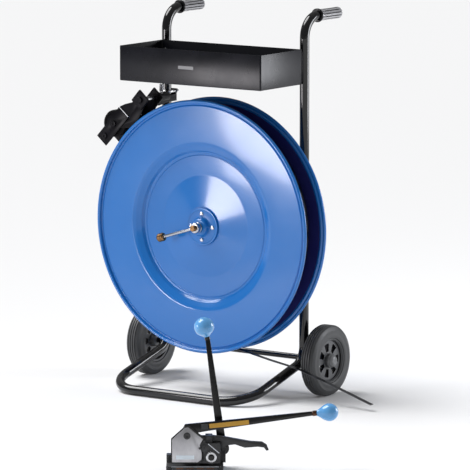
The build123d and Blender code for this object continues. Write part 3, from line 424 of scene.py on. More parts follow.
# colours are linear, gloss is the smooth and the rough value, relief is its height and its scale
finishes = {
    "tubeEnamel": dict(colour=(0.002, 0.002, 0.003), second=(0.004, 0.004, 0.005), gloss=(0.08, 0.16),
        relief=(0.00001, 160), coat=0.25, dust=0.05, shine=0.45),
    "plateEnamel": dict(colour=(0.003, 0.0028, 0.004), second=(0.006, 0.0055, 0.008), gloss=(0.25, 0.4),
        relief=(0.00004, 420), dust=0.06, shine=0.1),
    "trayPowder": dict(colour=(0.0035, 0.004, 0.0065), second=(0.006, 0.0065, 0.0105), gloss=(0.24, 0.3),
        relief=(0.00003, 900), dust=0.04, shine=0.26),
    "discEnamel": dict(colour=(0.006, 0.15, 0.5), second=(0.007, 0.155, 0.51), gloss=(0.16, 0.21),
        relief=(0.00001, 120), coat=0.5, dust=0.004, shine=0.42),
    # painted shade: a darker navy for the discs' inner faces, standing in for the shade in the gap between the
    # discs
    "innerPaintedShade": dict(colour=(0.014, 0.015, 0.11), second=(0.018, 0.02, 0.125), gloss=(0.3, 0.45),
        relief=(0.00001, 120), dust=0.02, shine=0.3),
    "hubEnamel": dict(colour=(0.008, 0.15, 0.49), second=(0.01, 0.16, 0.51), gloss=(0.18, 0.24),
        relief=(0.00001, 200), coat=0.3, dust=0.004, shine=0.42),
    "gripPlastic": dict(colour=(0.3, 0.3, 0.315), second=(0.36, 0.36, 0.375), gloss=(0.16, 0.28),
        relief=(0.00002, 700), coat=0.4, dust=0.04),
    # the collar's own black plastic, also used as painted shade in the wheel windows and the grip grooves
    "collarPlasticAndPaintedShade": dict(colour=(0.004, 0.004, 0.005), second=(0.007, 0.007, 0.008), gloss=(0.25, 0.35),
        relief=(0.00002, 700), dust=0.04, shine=0.3),
    "tyreRubber": dict(colour=(0.034, 0.036, 0.038), second=(0.056, 0.058, 0.061), gloss=(0.36, 0.52),
        relief=(0.00012, 900), dust=0.12, shine=0.45),
    "rimPlastic": dict(colour=(0.088, 0.091, 0.096), second=(0.115, 0.118, 0.124), gloss=(0.28, 0.4),
        relief=(0.00004, 800), dust=0.06, shine=0.4),
    "capPlastic": dict(colour=(0.15, 0.154, 0.16), second=(0.19, 0.194, 0.2), gloss=(0.3, 0.42),
        relief=(0.00003, 700), coat=0.1, dust=0.04),
    "rollerRubber": dict(colour=(0.006, 0.006, 0.007), second=(0.011, 0.011, 0.012), gloss=(0.5, 0.7),
        relief=(0.00008, 900), dust=0.0, shine=0.05),
    "drumPaint": dict(colour=(0.05, 0.055, 0.065), second=(0.07, 0.075, 0.085), gloss=(0.35, 0.5),
        relief=(0.00003, 500), dust=0.05),
    "darkCasting": dict(colour=(0.032, 0.033, 0.035), second=(0.062, 0.063, 0.066), gloss=(0.36, 0.52),
        relief=(0.0001, 650), dust=0.05, metal=0.35, shine=0.4),
    "leverEnamel": dict(colour=(0.003, 0.003, 0.0035), second=(0.007, 0.007, 0.008), gloss=(0.18, 0.3),
        relief=(0.00003, 350), coat=0.1, dust=0.05, shine=0.35),
    "knobPlastic": dict(colour=(0.1, 0.33, 0.66), second=(0.115, 0.36, 0.7), gloss=(0.14, 0.22),
        relief=(0.00001, 300), coat=0.3, dust=0.02),
    "amberLabel": dict(colour=(0.5, 0.26, 0.012), second=(0.58, 0.31, 0.02), gloss=(0.35, 0.5),
        relief=(0.00001, 900), coat=0.1, dust=0.02),
    "paleLabel": dict(colour=(0.74, 0.85, 0.95), second=(0.8, 0.88, 0.96), gloss=(0.3, 0.42),
        relief=(0.00001, 900), coat=0.1, dust=0.02),
}
metals = {
    "turnedSteel": dict(colour=(0.5, 0.52, 0.56), second=(0.33, 0.35, 0.38),
        stretch=(900, 60, 900), gloss=(0.16, 0.34)),
    "brightZinc": dict(colour=(0.74, 0.75, 0.77), second=(0.6, 0.61, 0.64),
        stretch=(260, 260, 260), gloss=(0.12, 0.3)),
    "turnedBrass": dict(colour=(0.3, 0.17, 0.075), second=(0.17, 0.09, 0.04),
        stretch=(900, 90, 900), gloss=(0.2, 0.4)),
    "bluedStrap": dict(colour=(0.05, 0.052, 0.06), second=(0.16, 0.165, 0.18),
        stretch=(120, 900, 120), gloss=(0.22, 0.42)),
    "satinNickel": dict(colour=(0.52, 0.52, 0.54), second=(0.42, 0.42, 0.45),
        stretch=(700, 700, 60), gloss=(0.34, 0.5)),
    "bronzeRing": dict(colour=(0.13, 0.065, 0.04), second=(0.05, 0.03, 0.025),
        stretch=(500, 500, 500), gloss=(0.22, 0.4)),
    "springWire": dict(colour=(0.5, 0.5, 0.52), second=(0.35, 0.35, 0.37),
        stretch=(300, 300, 300), gloss=(0.18, 0.34)),
}


def newMaterial(name):
    material = bpy.data.materials.new(name)
    material.use_nodes = True
    tree = material.node_tree
    return material, tree, tree.nodes["Principled BSDF"]


def placeGroup(tree, group, **values):
    return addNode(tree, "ShaderNodeGroup", node_tree=group, **values)


def opaque(colour):
    return (*colour, 1.0)


def dress(tree, shader, outputs, **values):
    # what varies comes from the groups, and what doesn't is set on the shader
    for socket in ("Roughness", "Normal"):
        link(tree, outputs[socket], shader.inputs[socket])
    for socket, value in values.items():
        shader.inputs[socket.replace("_", " ")].default_value = value


def makeCoated(name, colour, second, gloss, relief, dust, coat=0.0, metal=0.0, shine=0.5):
    material, tree, shader = newMaterial(name)
    skin = placeGroup(tree, skinGroup, Colour=opaque(colour), Second=opaque(second), Relief_Height=relief[0],
        Relief_Scale=relief[1], Smooth=gloss[0], Rough=gloss[1])
    settled = placeGroup(tree, dustGroup, Amount=dust, Colour=skin.outputs["Colour"])
    link(tree, settled.outputs["Colour"], shader.inputs["Base Color"])
    dress(tree, shader, skin.outputs, Metallic=metal, Specular_IOR_Level=shine, Coat_Weight=coat,
        Coat_Roughness=0.08)
    return material


def makeMetal(name, colour, second, stretch, gloss):
    material, tree, shader = newMaterial(name)
    lines = placeGroup(tree, brushedGroup, Colour=opaque(colour), Second=opaque(second), Stretch=stretch,
        Smooth=gloss[0], Rough=gloss[1])
    link(tree, lines.outputs["Colour"], shader.inputs["Base Color"])
    dress(tree, shader, lines.outputs, Metallic=1.0)
    return material


look = {name: makeCoated(name, **values) for name, values in finishes.items()}
look.update({name: makeMetal(name, **values) for name, values in metals.items()})
print("stage 2: finishes made,", len(look))

# what the CAD nodes that stay are finished in
nodeFinish = {
    "tubeEnamel": ["left_upright", "right_upright", "foot_bow", "axle", "reel_crossbar"],
    "plateEnamel": ["tray_brackets", "bearing_housing", "brake_hanger", "arm_channel", "roller_cheeks",
                    "square_lugs", "cheek_bolts"],
    "trayPowder": ["tray"],
    "discEnamel": ["front_disc", "rear_disc", "rear_hub_flange"],
    "hubEnamel": ["front_hub_flange"],
    "gripPlastic": ["left_grip", "right_grip"],
    "collarPlasticAndPaintedShade": ["grip_collars"],
    "tyreRubber": ["left_tyre", "right_tyre"],
    "rimPlastic": ["left_rim", "right_rim"],
    "capPlastic": ["left_hub_cap", "right_hub_cap"],
    "rollerRubber": ["guide_roller"],
    "drumPaint": ["coil_drum"],
    "darkCasting": ["tool_base", "tool_body", "tool_screws", "release_lever"],
    "leverEnamel": ["tension_lever", "sealing_lever", "sealing_ferrule"],
    "knobPlastic": ["tension_knob", "sealing_knob"],
    "turnedSteel": ["spindle", "clamp_nut", "clamp_bar", "feed_wheel", "feed_shaft"],
    "brightZinc": ["frame_bolts", "axle_washers", "u_bolt", "spindle_nut", "rear_hub_bolts", "front_hub_bolts",
                   "coil_clip", "guide_blade", "pivot_shaft", "tool_ring"],
    "turnedBrass": ["clamp_bar_knob", "clamp_cap"],
    "bluedStrap": ["strap_coil", "strap_tail"],
    "satinNickel": ["tool_side_plate"],
    "bronzeRing": ["tension_ferrule"],
    "springWire": ["arm_spring"],
}
for finishName, nodeNames in nodeFinish.items():
    for nodeName in nodeNames:
        mesh = frame["nodes"][nodeName].data
        mesh.materials.clear()
        mesh.materials.append(look[finishName])
print("stage 3: nodes finished")


def paintFaces(piece, first, other, wanted):
    # every face wears the first material, and those for which wanted(face) is true the other one
    piece.data.materials.clear()
    piece.data.materials.append(first)
    piece.data.materials.append(other)
    for face in piece.data.polygons:
        face.material_index = 1 if wanted(face) else 0


# reel
reelCentre = Vector(joint["reel_spin"]["pos_m"])
discSizes = dict(sheet=0.0015, bead=0.005, beadOut=0.0025, grooveIn=0.0135, grooveDeep=0.003, stepOuter=0.237,
    stepInner=0.208, dish=0.020, cone=0.144, coneRise=0.0105, flange=0.057, sides=180)
beadProud = discSizes["bead"] + discSizes["beadOut"]


def discProfile(rim, bore):
    # one sheet of steel from the bore out to its rolled rim; heights are towards the face that shows
    s = discSizes
    inner, outer, deep = s["stepInner"], s["stepOuter"], s["grooveDeep"]
    beadRadius = rim - s["bead"]
    floor = -s["dish"]
    centre = floor + s["coneRise"]
    top = roundCorners([(bore, centre, 0), (s["flange"], centre, 0.004), (s["cone"], floor, 0.05),
        (inner - 0.009, floor, 0.001), (inner - 0.007, floor - 0.0014, 0.001), (inner - 0.005, floor, 0.001),
        (inner, floor, 0.006), (inner + 0.006, floor + 0.008, 0.006), (outer - 0.009, -0.0035, 0.012),
        (outer, 0, 0.014), (rim - s["grooveIn"] - 0.004, 0, 0.003), (rim - s["grooveIn"], -deep, 0.002),
        (beadRadius - 0.005, -deep * 0.5, 0.0015), (beadRadius - 0.004, 0, 0)], 6)
    underneath = [(r, h - s["sheet"]) for r, h in reversed(top[:-1])]
    bead = []
    for k in range(19):
        angle = math.radians(210 - 337 * k / 18)
        bead.append((beadRadius + s["bead"] * math.cos(angle), s["beadOut"] + s["bead"] * math.sin(angle)))
    profile = top[:-1] + bead + underneath
    return profile + [profile[0]]


def makeDiscs():
    rows = [("front_disc", "front_disc_set", front, 0.026), ("rear_disc", "reel", -front, 0.022)]
    for node, body, axis, bore in rows:
        low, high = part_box(node)
        outer = (high.x - low.x) / 2
        ring = low.y + beadProud if axis is front else high.y - beadProud
        disc = turned(node.replace("_", "") + "Pressing", discProfile(outer, bore),
            (reelCentre.x, ring, reelCentre.z), axis, discSizes["sides"], closed=True, angle=50)
        # painted shade: the faces of each disc that look into the gap between the discs wear the darker navy,
        # where shade falls
        paintFaces(disc, look["discEnamel"], look["innerPaintedShade"],
            lambda face: face.normal.dot(axis) < -0.2 and (face.center - reelCentre).length < outer - 0.012)
        fit(disc, body, None, "disc_blue", node)


hubSizes = dict(bore=0.01206, shoulder=0.0259, flangeThick=0.006, boltCircle=0.0365, screws=4, headHigh=0.0035)


def makeHub():
    low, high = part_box("front_hub_flange")
    s = hubSizes
    # the pressed centre's face
    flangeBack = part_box("front_disc")[0].y + beadProud + discSizes["dish"] - discSizes["coneRise"]
    boss = high.x - reelCentre.x
    flangeFace = flangeBack - s["flangeThick"]
    deep = flangeBack - low.y
    profile = roundCorners([(s["bore"], high.y - flangeBack, 0), (s["shoulder"], high.y - flangeBack, 0),
        (s["shoulder"], 0, 0), (boss, 0, 0.0006), (boss, -s["flangeThick"], 0.0014),
        (boss - 0.005, -s["flangeThick"], 0.001), (boss - 0.007, -0.0052, 0.001), (0.029, -0.0052, 0.002),
        (0.0268, -0.008, 0.002), (0.025, -deep + 0.004, 0.002), (0.0215, -deep, 0.0015), (s["bore"], -deep, 0)],
        4)
    hub = turned("frontHub", [(r, -h) for r, h in profile] + [(profile[0][0], -profile[0][1])],
        (reelCentre.x, flangeBack, reelCentre.z), front, 72, closed=True)
    fit(hub, "front_disc_set", "hubEnamel", "hub_blue", "front_hub_flange")
    head = roundCorners([(0.0058, 0, 0), (0.0058, 0.0016, 0.0012), (0.0034, s["headHigh"], 0.0016),
        (0.0022, s["headHigh"], 0.0004), (0.0019, 0.0018, 0.0003), (0.0004, 0.0016, 0)], 4)
    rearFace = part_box("rear_hub_bolts")[1].y - s["headHigh"]
    rows = [("frontHubScrews", "front_hub_bolts", "front_disc_set", front, flangeFace),
        ("rearHubScrews", "rear_hub_bolts", "reel", -front, rearFace)]
    for name, node, body, axis, faceY in rows:
        screws = []
        for k in range(s["screws"]):
            angle = 2 * math.pi * k / s["screws"]
            place = (reelCentre.x + s["boltCircle"] * math.cos(angle), faceY,
                reelCentre.z + s["boltCircle"] * math.sin(angle))
            if screws:
                screws.append(copyOf(screws[0], name + str(k), Matrix.Translation(Vector(place) - firstPlace)))
            else:
                firstPlace = Vector(place)
                screws.append(turned(name, head, place, axis, 24))
        fit(joined(name, screws), body, "brightZinc", "zinc", node)


clampSizes = dict(angle=197.0, barRadius=0.0047, reach=0.112, knobRadius=0.012, knobLength=0.022,
    nutRadius=0.0145, nutLength=0.020, capRadius=0.0085, capLength=0.010)


def makeClamp():
    s = clampSizes
    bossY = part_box("clamp_nut")[1].y
    centre = Vector((reelCentre.x, bossY, reelCentre.z))
    r, tall = s["nutRadius"], s["nutLength"]
    nut = turned("clampNut", roundCorners([(0.01046, 0, 0), (r - 0.001, 0, 0.0004), (r, 0.0012, 0.0005),
        (r, 0.0045, 0.0005), (r - 0.0012, 0.0055, 0.0005), (r - 0.0012, 0.0075, 0.0005), (r, 0.0085, 0.0005),
        (r, tall - 0.0015, 0.0008), (r - 0.0015, tall, 0.0004), (0.001, tall, 0), (0.001, 0.0075, 0),
        (0.01046, 0.0074, 0)], 3), centre, front, 48, closed=True)
    fit(nut, "clamp", "turnedSteel", "bright_steel", "clamp_nut")
    along = Vector((math.cos(math.radians(s["angle"])), 0, math.sin(math.radians(s["angle"]))))
    r, reach = s["barRadius"], s["reach"]
    barMid = centre + front * (tall - r - 0.002)
    bar = turned("clampBar", roundCorners([(r - 0.0002, 0.0, 0), (r - 0.0002, 0.017, 0.0004),
        (r, 0.018, 0.0004), (r, reach - 0.007, 0.0006), (r - 0.001, reach - 0.006, 0.0004),
        (r - 0.001, reach - 0.003, 0.0004), (r, reach - 0.002, 0.0004), (r, reach, 0)], 3), barMid, along, 32)
    fit(bar, "clamp", "turnedSteel", "bright_steel", "clamp_bar")
    r, long = s["knobRadius"], s["knobLength"]
    knob = turned("clampBarKnob", roundCorners([(0.0075, 0, 0), (r - 0.002, 0.0003, 0.001), (r, 0.0035, 0.0012),
        (r, 0.0075, 0.0006), (r - 0.0009, 0.0084, 0.0004), (r - 0.0009, 0.0096, 0.0004), (r, 0.0105, 0.0006),
        (r, long - 0.004, 0.0012), (r - 0.003, long, 0.0012), (0.005, long, 0.0008),
        (0.0042, long - 0.003, 0.0008), (0.0005, long - 0.003, 0)], 4), barMid + along * reach, along, 48)
    fit(knob, "clamp", "turnedBrass", "brass", "clamp_bar_knob")
    r, long = s["capRadius"], s["capLength"]
    cap = turned("clampCap", roundCorners([(r, 0, 0), (r, 0.003, 0.0005), (r - 0.0008, 0.0038, 0.0004),
        (r - 0.0008, 0.005, 0.0004), (r, 0.0058, 0.0005), (r, long - 0.0015, 0.001), (r - 0.002, long, 0.0008),
        (0.003, long, 0.0004), (0.0025, long - 0.0015, 0.0004), (0.0004, long - 0.0015, 0)], 3),
        centre + front * tall, front, 40)
    fit(cap, "clamp", "turnedBrass", "brass", "clamp_cap")


coilSizes = dict(inner=0.2032, layers=42, uneven=0.0009, sides=150, seed=7)


def makeCoil():
    # the wound strap: each group of turns stands a little proud of its neighbours at both sides
    low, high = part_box("strap_coil")
    outer, inner = (high.x - low.x) / 2, coilSizes["inner"]
    width = high.y - low.y
    rng = random.Random(coilSizes["seed"])
    step = (outer - inner) / coilSizes["layers"]
    nearSide, farSide = [], []
    for k in range(coilSizes["layers"]):
        a, b = inner + step * k, inner + step * (k + 1)
        nearBack, farBack = rng.uniform(0, coilSizes["uneven"]), rng.uniform(0, coilSizes["uneven"])
        nearSide += [(a + 0.0002, nearBack + 0.0003), (a + 0.0004, nearBack), (b - 0.0002, nearBack),
            (b, nearBack + 0.0003)]
        farSide += [(a + 0.0002, width - farBack - 0.0003), (a + 0.0004, width - farBack),
            (b - 0.0002, width - farBack), (b, width - farBack - 0.0003)]
    profile = nearSide + farSide[::-1] + [nearSide[0]]
    coil = turned("strapWinding", profile, (reelCentre.x, high.y, reelCentre.z), front, coilSizes["sides"],
        closed=True, angle=25)
    fit(coil, "reel", "bluedStrap", "strap_steel", "strap_coil")


print("stage 4: reel")
makeDiscs()
makeHub()
makeClamp()
makeCoil()

# wheels
wheelSizes = dict(radius=0.100, width=0.046, rim=0.062, groove=0.0075, grooveDeep=0.0028, windows=7,
    windowIn=0.0255, windowOut=0.0485, windowShare=0.50, windowSteps=16, web=0.016, hub=0.019, cap=0.020)


leftward = Vector((-1, 0, 0))


def makeTyre(hub):
    s = wheelSizes
    half = s["width"] / 2
    r, rim, low = s["radius"], s["rim"], s["radius"] - s["grooveDeep"]
    outer = [(rim, -half + 0.004, 0.001), (rim + 0.002, -half + 0.001, 0.001), (0.070, -half, 0.002),
        (0.078, -half + 0.0006, 0.002), (0.086, -half, 0.004), (0.0965, -half + 0.004, 0.006)]
    tread = [(r, -half + 0.011, 0.002)]
    for k in range(4):
        mid = (k - 1.5) * s["groove"]
        tread += [(r, mid - 0.0014, 0.0005), (low, mid - 0.0008, 0.0004), (low, mid + 0.0008, 0.0004),
            (r, mid + 0.0014, 0.0005)]
    tread += [(r, half - 0.011, 0.002)]
    profile = roundCorners(outer + tread + [(a, -h, k) for a, h, k in reversed(outer)], 3)
    return turned("leftTyreTread", profile + [profile[0]], hub - leftward * half, leftward, 128, closed=True,
        angle=35)


def makeRim(hub):
    # a drum with a lip, and a web whose windows are cut out face by face before it gets its thickness
    s = wheelSizes
    half, core, lip = s["width"] / 2, s["hub"], s["rim"]
    place = hub - leftward * half
    deselectAll()
    bpy.ops.mesh.primitive_circle_add(vertices=s["windows"] * s["windowSteps"], radius=core,
        fill_type="NOTHING")
    web = bpy.context.object
    startEdit(web)
    bpy.ops.mesh.select_all(action="SELECT")
    ring = core
    for radius in (0.0215, s["windowIn"], 0.033, 0.041, s["windowOut"], 0.052, 0.0575):
        bpy.ops.mesh.extrude_region_move()
        bpy.ops.transform.resize(value=(radius / ring, radius / ring, 1), center_override=(0, 0, 0))
        ring = radius

    def inWindow(face):
        mid = face.calc_center_median()
        if not s["windowIn"] < mid.xy.length < s["windowOut"]:
            return False
        share = (math.degrees(math.atan2(mid.y, mid.x)) / (360 / s["windows"]) + 0.25) % 1
        return share < s["windowShare"]

    pickFaces(web, inWindow)
    bpy.ops.mesh.delete(type="FACE")
    bpy.ops.mesh.select_all(action="SELECT")
    bpy.ops.mesh.normals_make_consistent(inside=False)
    bpy.ops.transform.translate(value=(0, 0, half - 0.0205))
    finishEdit()
    applyModifier(web, "SOLIDIFY", thickness=s["web"], offset=0)
    softenEdges(web, 0.0009, 2, 50)
    drum = turned("drum", roundCorners([(0.0575, half - 0.0165, 0), (0.0575, half - 0.009, 0.001),
        (0.0595, half - 0.0065, 0.001), (0.0595, half - 0.0035, 0.0006), (0.0612, half - 0.0032, 0.0004),
        (lip, half - 0.0042, 0.0004), (lip, -half + 0.0042, 0.0004), (0.0612, -half + 0.0032, 0.0004),
        (0.0565, -half + 0.0035, 0.001), (0.0565, half - 0.0165, 0)], 3), (0, 0, 0), (0, 0, 1), 112,
        closed=True)
    middle = turned("hub", roundCorners([(0.00806, -half + 0.0005, 0), (core - 0.001, -half + 0.0005, 0.001),
        (core, -half + 0.002, 0.001), (core, half - 0.0063, 0.001), (0.00806, half - 0.0063, 0)], 3)
        + [(0.00806, -half + 0.0005)], (0, 0, 0), (0, 0, 1), 56, closed=True)
    rim = joined("leftRimMoulding", [web, drum, middle])
    settle(rim, place, up.cross(leftward), up)
    smooth(rim, 40)
    # painted shade: the windows' walls and the inside of the drum behind them wear the black plastic, standing
    # in for the shade inside the wheel
    paintFaces(rim, look["rimPlastic"], look["collarPlasticAndPaintedShade"],
        lambda face: abs(face.normal.x) < 0.4 and 0.0212 < (face.center - place).yz.length < 0.0575)
    return rim


def makeHubCap(hub):
    low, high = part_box("left_hub_cap")
    deep = high.x - low.x
    r = wheelSizes["cap"]
    profile = roundCorners([(r - 0.0025, 0, 0), (r, 0.0004, 0.001), (r, 0.004, 0.001),
        (r - 0.0018, 0.0058, 0.0008), (r - 0.003, 0.0095, 0.004), (0.012, deep - 0.001, 0.008),
        (0.0075, deep, 0.003), (0.0064, deep - 0.0008, 0.0006), (0.0004, deep - 0.0008, 0)], 5)
    return turned("leftHubDome", profile, (high.x, hub.y, hub.z), leftward, 64)


def makeWheels():
    # the left wheel is modelled, and the right one is its copy turned about the vertical
    left, right = (Vector(joint[name + "_wheel_spin"]["pos_m"]) for name in ("left", "right"))
    middle = (left + right) / 2
    halfTurn = Matrix.Translation(middle) @ Matrix.Rotation(math.pi, 4, "Z") @ Matrix.Translation(-middle)
    pieces = [(makeTyre(left), "TyreTread", "tyreRubber", "tyre", "_tyre"),
        (makeRim(left), "RimMoulding", None, "rim_grey", "_rim"),
        (makeHubCap(left), "HubDome", "capPlastic", "rim_grey", "_hub_cap")]
    twins = [copyOf(piece, "right" + name, halfTurn) for piece, name, *rest in pieces]
    for side, made in (("left", [piece for piece, *rest in pieces]), ("right", twins)):
        for piece, (first, name, finish, slotName, node) in zip(made, pieces):
            fit(piece, side + "_wheel", finish, slotName, side + node)


# handle grips
gripSizes = dict(ridges=12, groove=0.16, sides=144)


def makeGrips():
    # one grip and one collar are modelled, and the other ones are their copies
    s = gripSizes
    low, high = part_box("left_grip")
    x, z = (low.x + high.x) / 2, (low.z + high.z) / 2
    radius = (high.z - low.z) / 2
    length = high.y - low.y
    profile = roundCorners([(0.0138, 0, 0), (radius, 0.0002, 0.001), (radius, 0.02, 0.01),
        (radius * 0.975, length * 0.5, 0.03), (radius, length - 0.012, 0.01), (radius, length - 0.004, 0.003),
        (radius * 0.72, length, 0.003), (radius * 0.45, length, 0.001), (radius * 0.4, length - 0.0015, 0.001),
        (0.0005, length - 0.0015, 0)], 5)
    grip = turned("leftGripSleeve", profile, (x, low.y, z), (0, 1, 0), s["sides"],
        flutes=(s["ridges"], s["groove"]), angle=50)
    # painted shade: the faces inside the grooves wear the black plastic, darkening the grooves where shade
    # falls
    inGroove = radius * (1 - s["groove"] * 0.55)
    paintFaces(grip, look["gripPlastic"], look["collarPlasticAndPaintedShade"],
        lambda face: abs(face.normal.y) < 0.5 and math.hypot(face.center.x - x, face.center.z - z) < inGroove)
    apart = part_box("right_grip")[0] - low
    twin = copyOf(grip, "rightGripSleeve", Matrix.Translation((apart.x, 0, 0)))
    fit(grip, "root", None, "grip_grey", "left_grip")
    fit(twin, "root", None, "grip_grey", "right_grip")
    low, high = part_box("grip_collars")
    radius, z = (high.z - low.z) / 2, (high.z + low.z) / 2
    profile = roundCorners([(0.01352, 0, 0), (radius - 0.002, 0, 0.001), (radius, 0.0015, 0.0015),
        (radius, 0.0055, 0.0015), (radius - 0.002, high.y - low.y, 0.001), (0.01352, high.y - low.y, 0)], 4)
    ring = turned("collar", profile + [profile[0]], (low.x + radius, low.y, z), (0, 1, 0), 64, closed=True)
    rings = [ring, copyOf(ring, "collar", Matrix.Translation((high.x - low.x - 2 * radius, 0, 0)))]
    fit(joined("gripFlanges", rings), "root", "collarPlasticAndPaintedShade", "collar_black", "grip_collars")


# tray
traySizes = dict(deep=0.098, tabAside=0.025, sheet=0.0015, corner=0.004, fold=0.003, plate=(0.052, 0.009))


def makeTray():
    low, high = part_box("tray")
    floorZ = high.z - traySizes["deep"]
    low.z = floorZ
    middle = (low + high) / 2
    deselectAll()
    bpy.ops.mesh.primitive_cube_add(size=1, location=middle)
    box = bpy.context.object
    box.name = "foldedTray"
    box.scale = high - low
    bpy.ops.object.transform_apply(location=True, rotation=True, scale=True)
    startEdit(box)
    pickEdges(box, lambda edge: abs(edge.verts[0].co.z - edge.verts[1].co.z) > 0.05)
    bpy.ops.mesh.bevel(offset=traySizes["corner"], segments=5)
    pickEdges(box, lambda edge: all(vert.co.z < floorZ + 0.001 for vert in edge.verts)
        and len(edge.link_faces) == 2 and abs(edge.link_faces[0].normal.z - edge.link_faces[1].normal.z) > 0.5)
    bpy.ops.mesh.bevel(offset=traySizes["fold"], segments=4)
    bpy.ops.mesh.select_mode(type="FACE")
    pickFaces(box, lambda face: face.normal.z > 0.9)
    bpy.ops.mesh.delete(type="FACE")
    finishEdit()
    applyModifier(box, "SOLIDIFY", thickness=traySizes["sheet"], offset=-1)
    softenEdges(box, 0.0004, 2, 60)
    smooth(box, 35)
    # the hook tab under the floor that the arm's spring hangs from
    tabX = Vector(joint["arm_swing"]["pos_m"]).x + traySizes["tabAside"]
    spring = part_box("arm_spring")
    tabY = (spring[0].y + spring[1].y) / 2
    tab = plate("hookTab", roundCorners([(-0.006, 0, 0), (-0.006, -0.012, 0.003), (0.006, -0.012, 0.003),
        (0.006, 0, 0)], 4), 0.003, (tabX, tabY + 0.0035, floorZ), (1, 0, 0), up)
    fit(joined("foldedTray", [box, tab]), "root", "trayPowder", "tray_black", "tray")
    mark = plate("trayPlate", roundedBox(*traySizes["plate"], 0.0015), 0.0005,
        (middle.x - 0.012, low.y, middle.z), (1, 0, 0), up, 0.0002, 1)
    fit(mark, "root", "capPlastic", "black_plate")


# arm spring, pivot and roller
springSizes = dict(hook=0.0034, radius=0.0052, wire=0.0009, turns=13, perTurn=20)


def makeSpring():
    s = springSizes
    low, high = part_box("arm_spring")
    x, y = (low.x + high.x) / 2, (low.y + high.y) / 2
    length = high.z - low.z
    deselectAll()
    bpy.ops.mesh.primitive_circle_add(vertices=8, radius=s["wire"], location=(s["radius"], 0, 0),
        rotation=(math.pi / 2, 0, 0))
    coil = bpy.context.object
    coil.name = "pullSpring"
    bpy.ops.object.transform_apply(location=True, rotation=True)
    coilLength = length - 0.012
    applyModifier(coil, "SCREW", axis="Z", angle=2 * math.pi * s["turns"], screw_offset=coilLength,
        steps=s["turns"] * s["perTurn"], render_steps=s["turns"] * s["perTurn"], use_normal_calculate=True)
    startEdit(coil)
    finishShape()
    settle(coil, (x, y, low.z + 0.006))
    hooks = [coil]
    thin = s["wire"] * 0.9
    ring = [(s["hook"] + thin * math.cos(math.pi * k / 4), thin * math.sin(math.pi * k / 4)) for k in range(9)]
    for z in (low.z + 0.0035, high.z - 0.0035):
        hooks.append(turned("endLoop", ring, (x, y, z), front, 24, closed=True))
    spring = joined("pullSpring", hooks)
    smooth(spring, 60)
    fit(spring, "root", "springWire", "bright_steel", "arm_spring")
    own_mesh(spring)


pivotSizes = dict(radius=0.006, headRadius=0.0095, headLong=0.005, sides=40)


def makePivotShaft():
    s = pivotSizes
    low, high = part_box("pivot_shaft")
    middle = (low + high) / 2
    centre = (middle.x, high.y, middle.z)
    radius, wide, headLong = s["radius"], s["headRadius"], s["headLong"]
    long = high.y - low.y - headLong
    rod = turned("armPivot", [(radius - 0.001, 0), (radius, 0.001), (radius, long * 0.5), (radius, long)],
        centre, front, s["sides"])
    fit(rod, "hold_down_arm", "brightZinc", "zinc", "pivot_shaft")
    head = turned("armPivotHead", roundCorners([(wide - 0.001, long, 0), (wide, long + 0.0006, 0.0004),
        (wide, long + 0.0042, 0.0008), (wide - 0.001, long + headLong, 0.0004), (0.0005, long + headLong, 0)],
        3), centre, front, 6, angle=30)
    fit(head, "hold_down_arm", "plateEnamel", "zinc")


rollerSizes = dict(bore=0.00606, hub=0.0145, recess=0.0022, tread=0.009, sides=96)


def makeRoller():
    s = rollerSizes
    hub, recess = s["hub"], s["recess"]
    low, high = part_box("guide_roller")
    radius = (high.z - low.z) / 2
    inner = radius - s["tread"]
    wide = high.y - low.y
    middle = (low + high) / 2
    profile = roundCorners([(s["bore"], 0.0006, 0), (hub - 0.0015, 0.0006, 0.0004), (hub, recess, 0.0006),
        (inner, recess, 0.0006), (inner + 0.0015, 0, 0.0006), (radius - 0.002, 0, 0.002),
        (radius, 0.0035, 0.002), (radius, wide - 0.0035, 0.002), (radius - 0.002, wide, 0.002),
        (inner + 0.0015, wide, 0.0006), (inner, wide - recess, 0.0006), (hub, wide - recess, 0.0006),
        (hub - 0.0015, wide - 0.0006, 0.0004), (s["bore"], wide - 0.0006, 0)], 4)
    roller = turned("rubberRoller", profile + [profile[0]], (middle.x, high.y, middle.z), front, s["sides"],
        closed=True)
    fit(roller, "arm_roller", "rollerRubber", "roller_rubber", "guide_roller")


# hand tool
toolNear = Vector(joint["tension_swing"]["axis"])
toolRight = up.cross(toolNear)
toolFeed = Vector(joint["feed_turn"]["pos_m"])
toolOrigin = toolFeed + toolRight * 0.033 - up * toolFeed.z


def onTool(near, along, height):
    return toolOrigin + toolNear * near + toolRight * along + up * height


ringSeat = onTool(0.027, 0.0295, 0.036)
knobSizes = dict(neck=0.0075, sides=72, tension=dict(lever=(0.020, 0.28775, 0.1486), end=(0.020, 0.331, 0.1515),
    ball=0.023, start=0.011), sealing=dict(lever=(-0.030, 0.020, 0.33175), end=(-0.030, 0.011, 0.364),
    ball=0.0255, start=0.007))


def makeKnob(lever):
    # a pear: the neck grips the lever's end and swells into a ball
    neck, own = knobSizes["neck"], knobSizes[lever]
    start = onTool(*own["lever"])
    along = onTool(*own["end"]) - start
    run, ball = along.length, own["ball"]
    begin = own["start"] + 0.0008
    profile = [(neck - 0.0012, own["start"]), (neck, begin)]
    steps = 12
    for k in range(1, steps + 1):
        share = k / steps
        eased = 0.55 * share + 0.45 * share * share * (3 - 2 * share)
        profile.append((neck + (ball * 0.87 - neck) * eased, begin + (run - ball * 0.5 - begin) * share))
    for k in range(1, 15):
        angle = math.radians(-30 + 118 * k / 14)
        profile.append((max(ball * math.cos(angle), 0.0006), run + ball * math.sin(angle)))
    knob = turned(lever + "KnobBall", profile, start, along, knobSizes["sides"], angle=60)
    fit(knob, lever, "knobPlastic", "knob_blue", lever + "_knob")


ringSizes = dict(inner=0.0082, outer=0.0138, deep=0.003)
labelSizes = dict(lever=(0.102, 0.0116), sidePlate=(0.047, 0.0104), thick=0.0003)


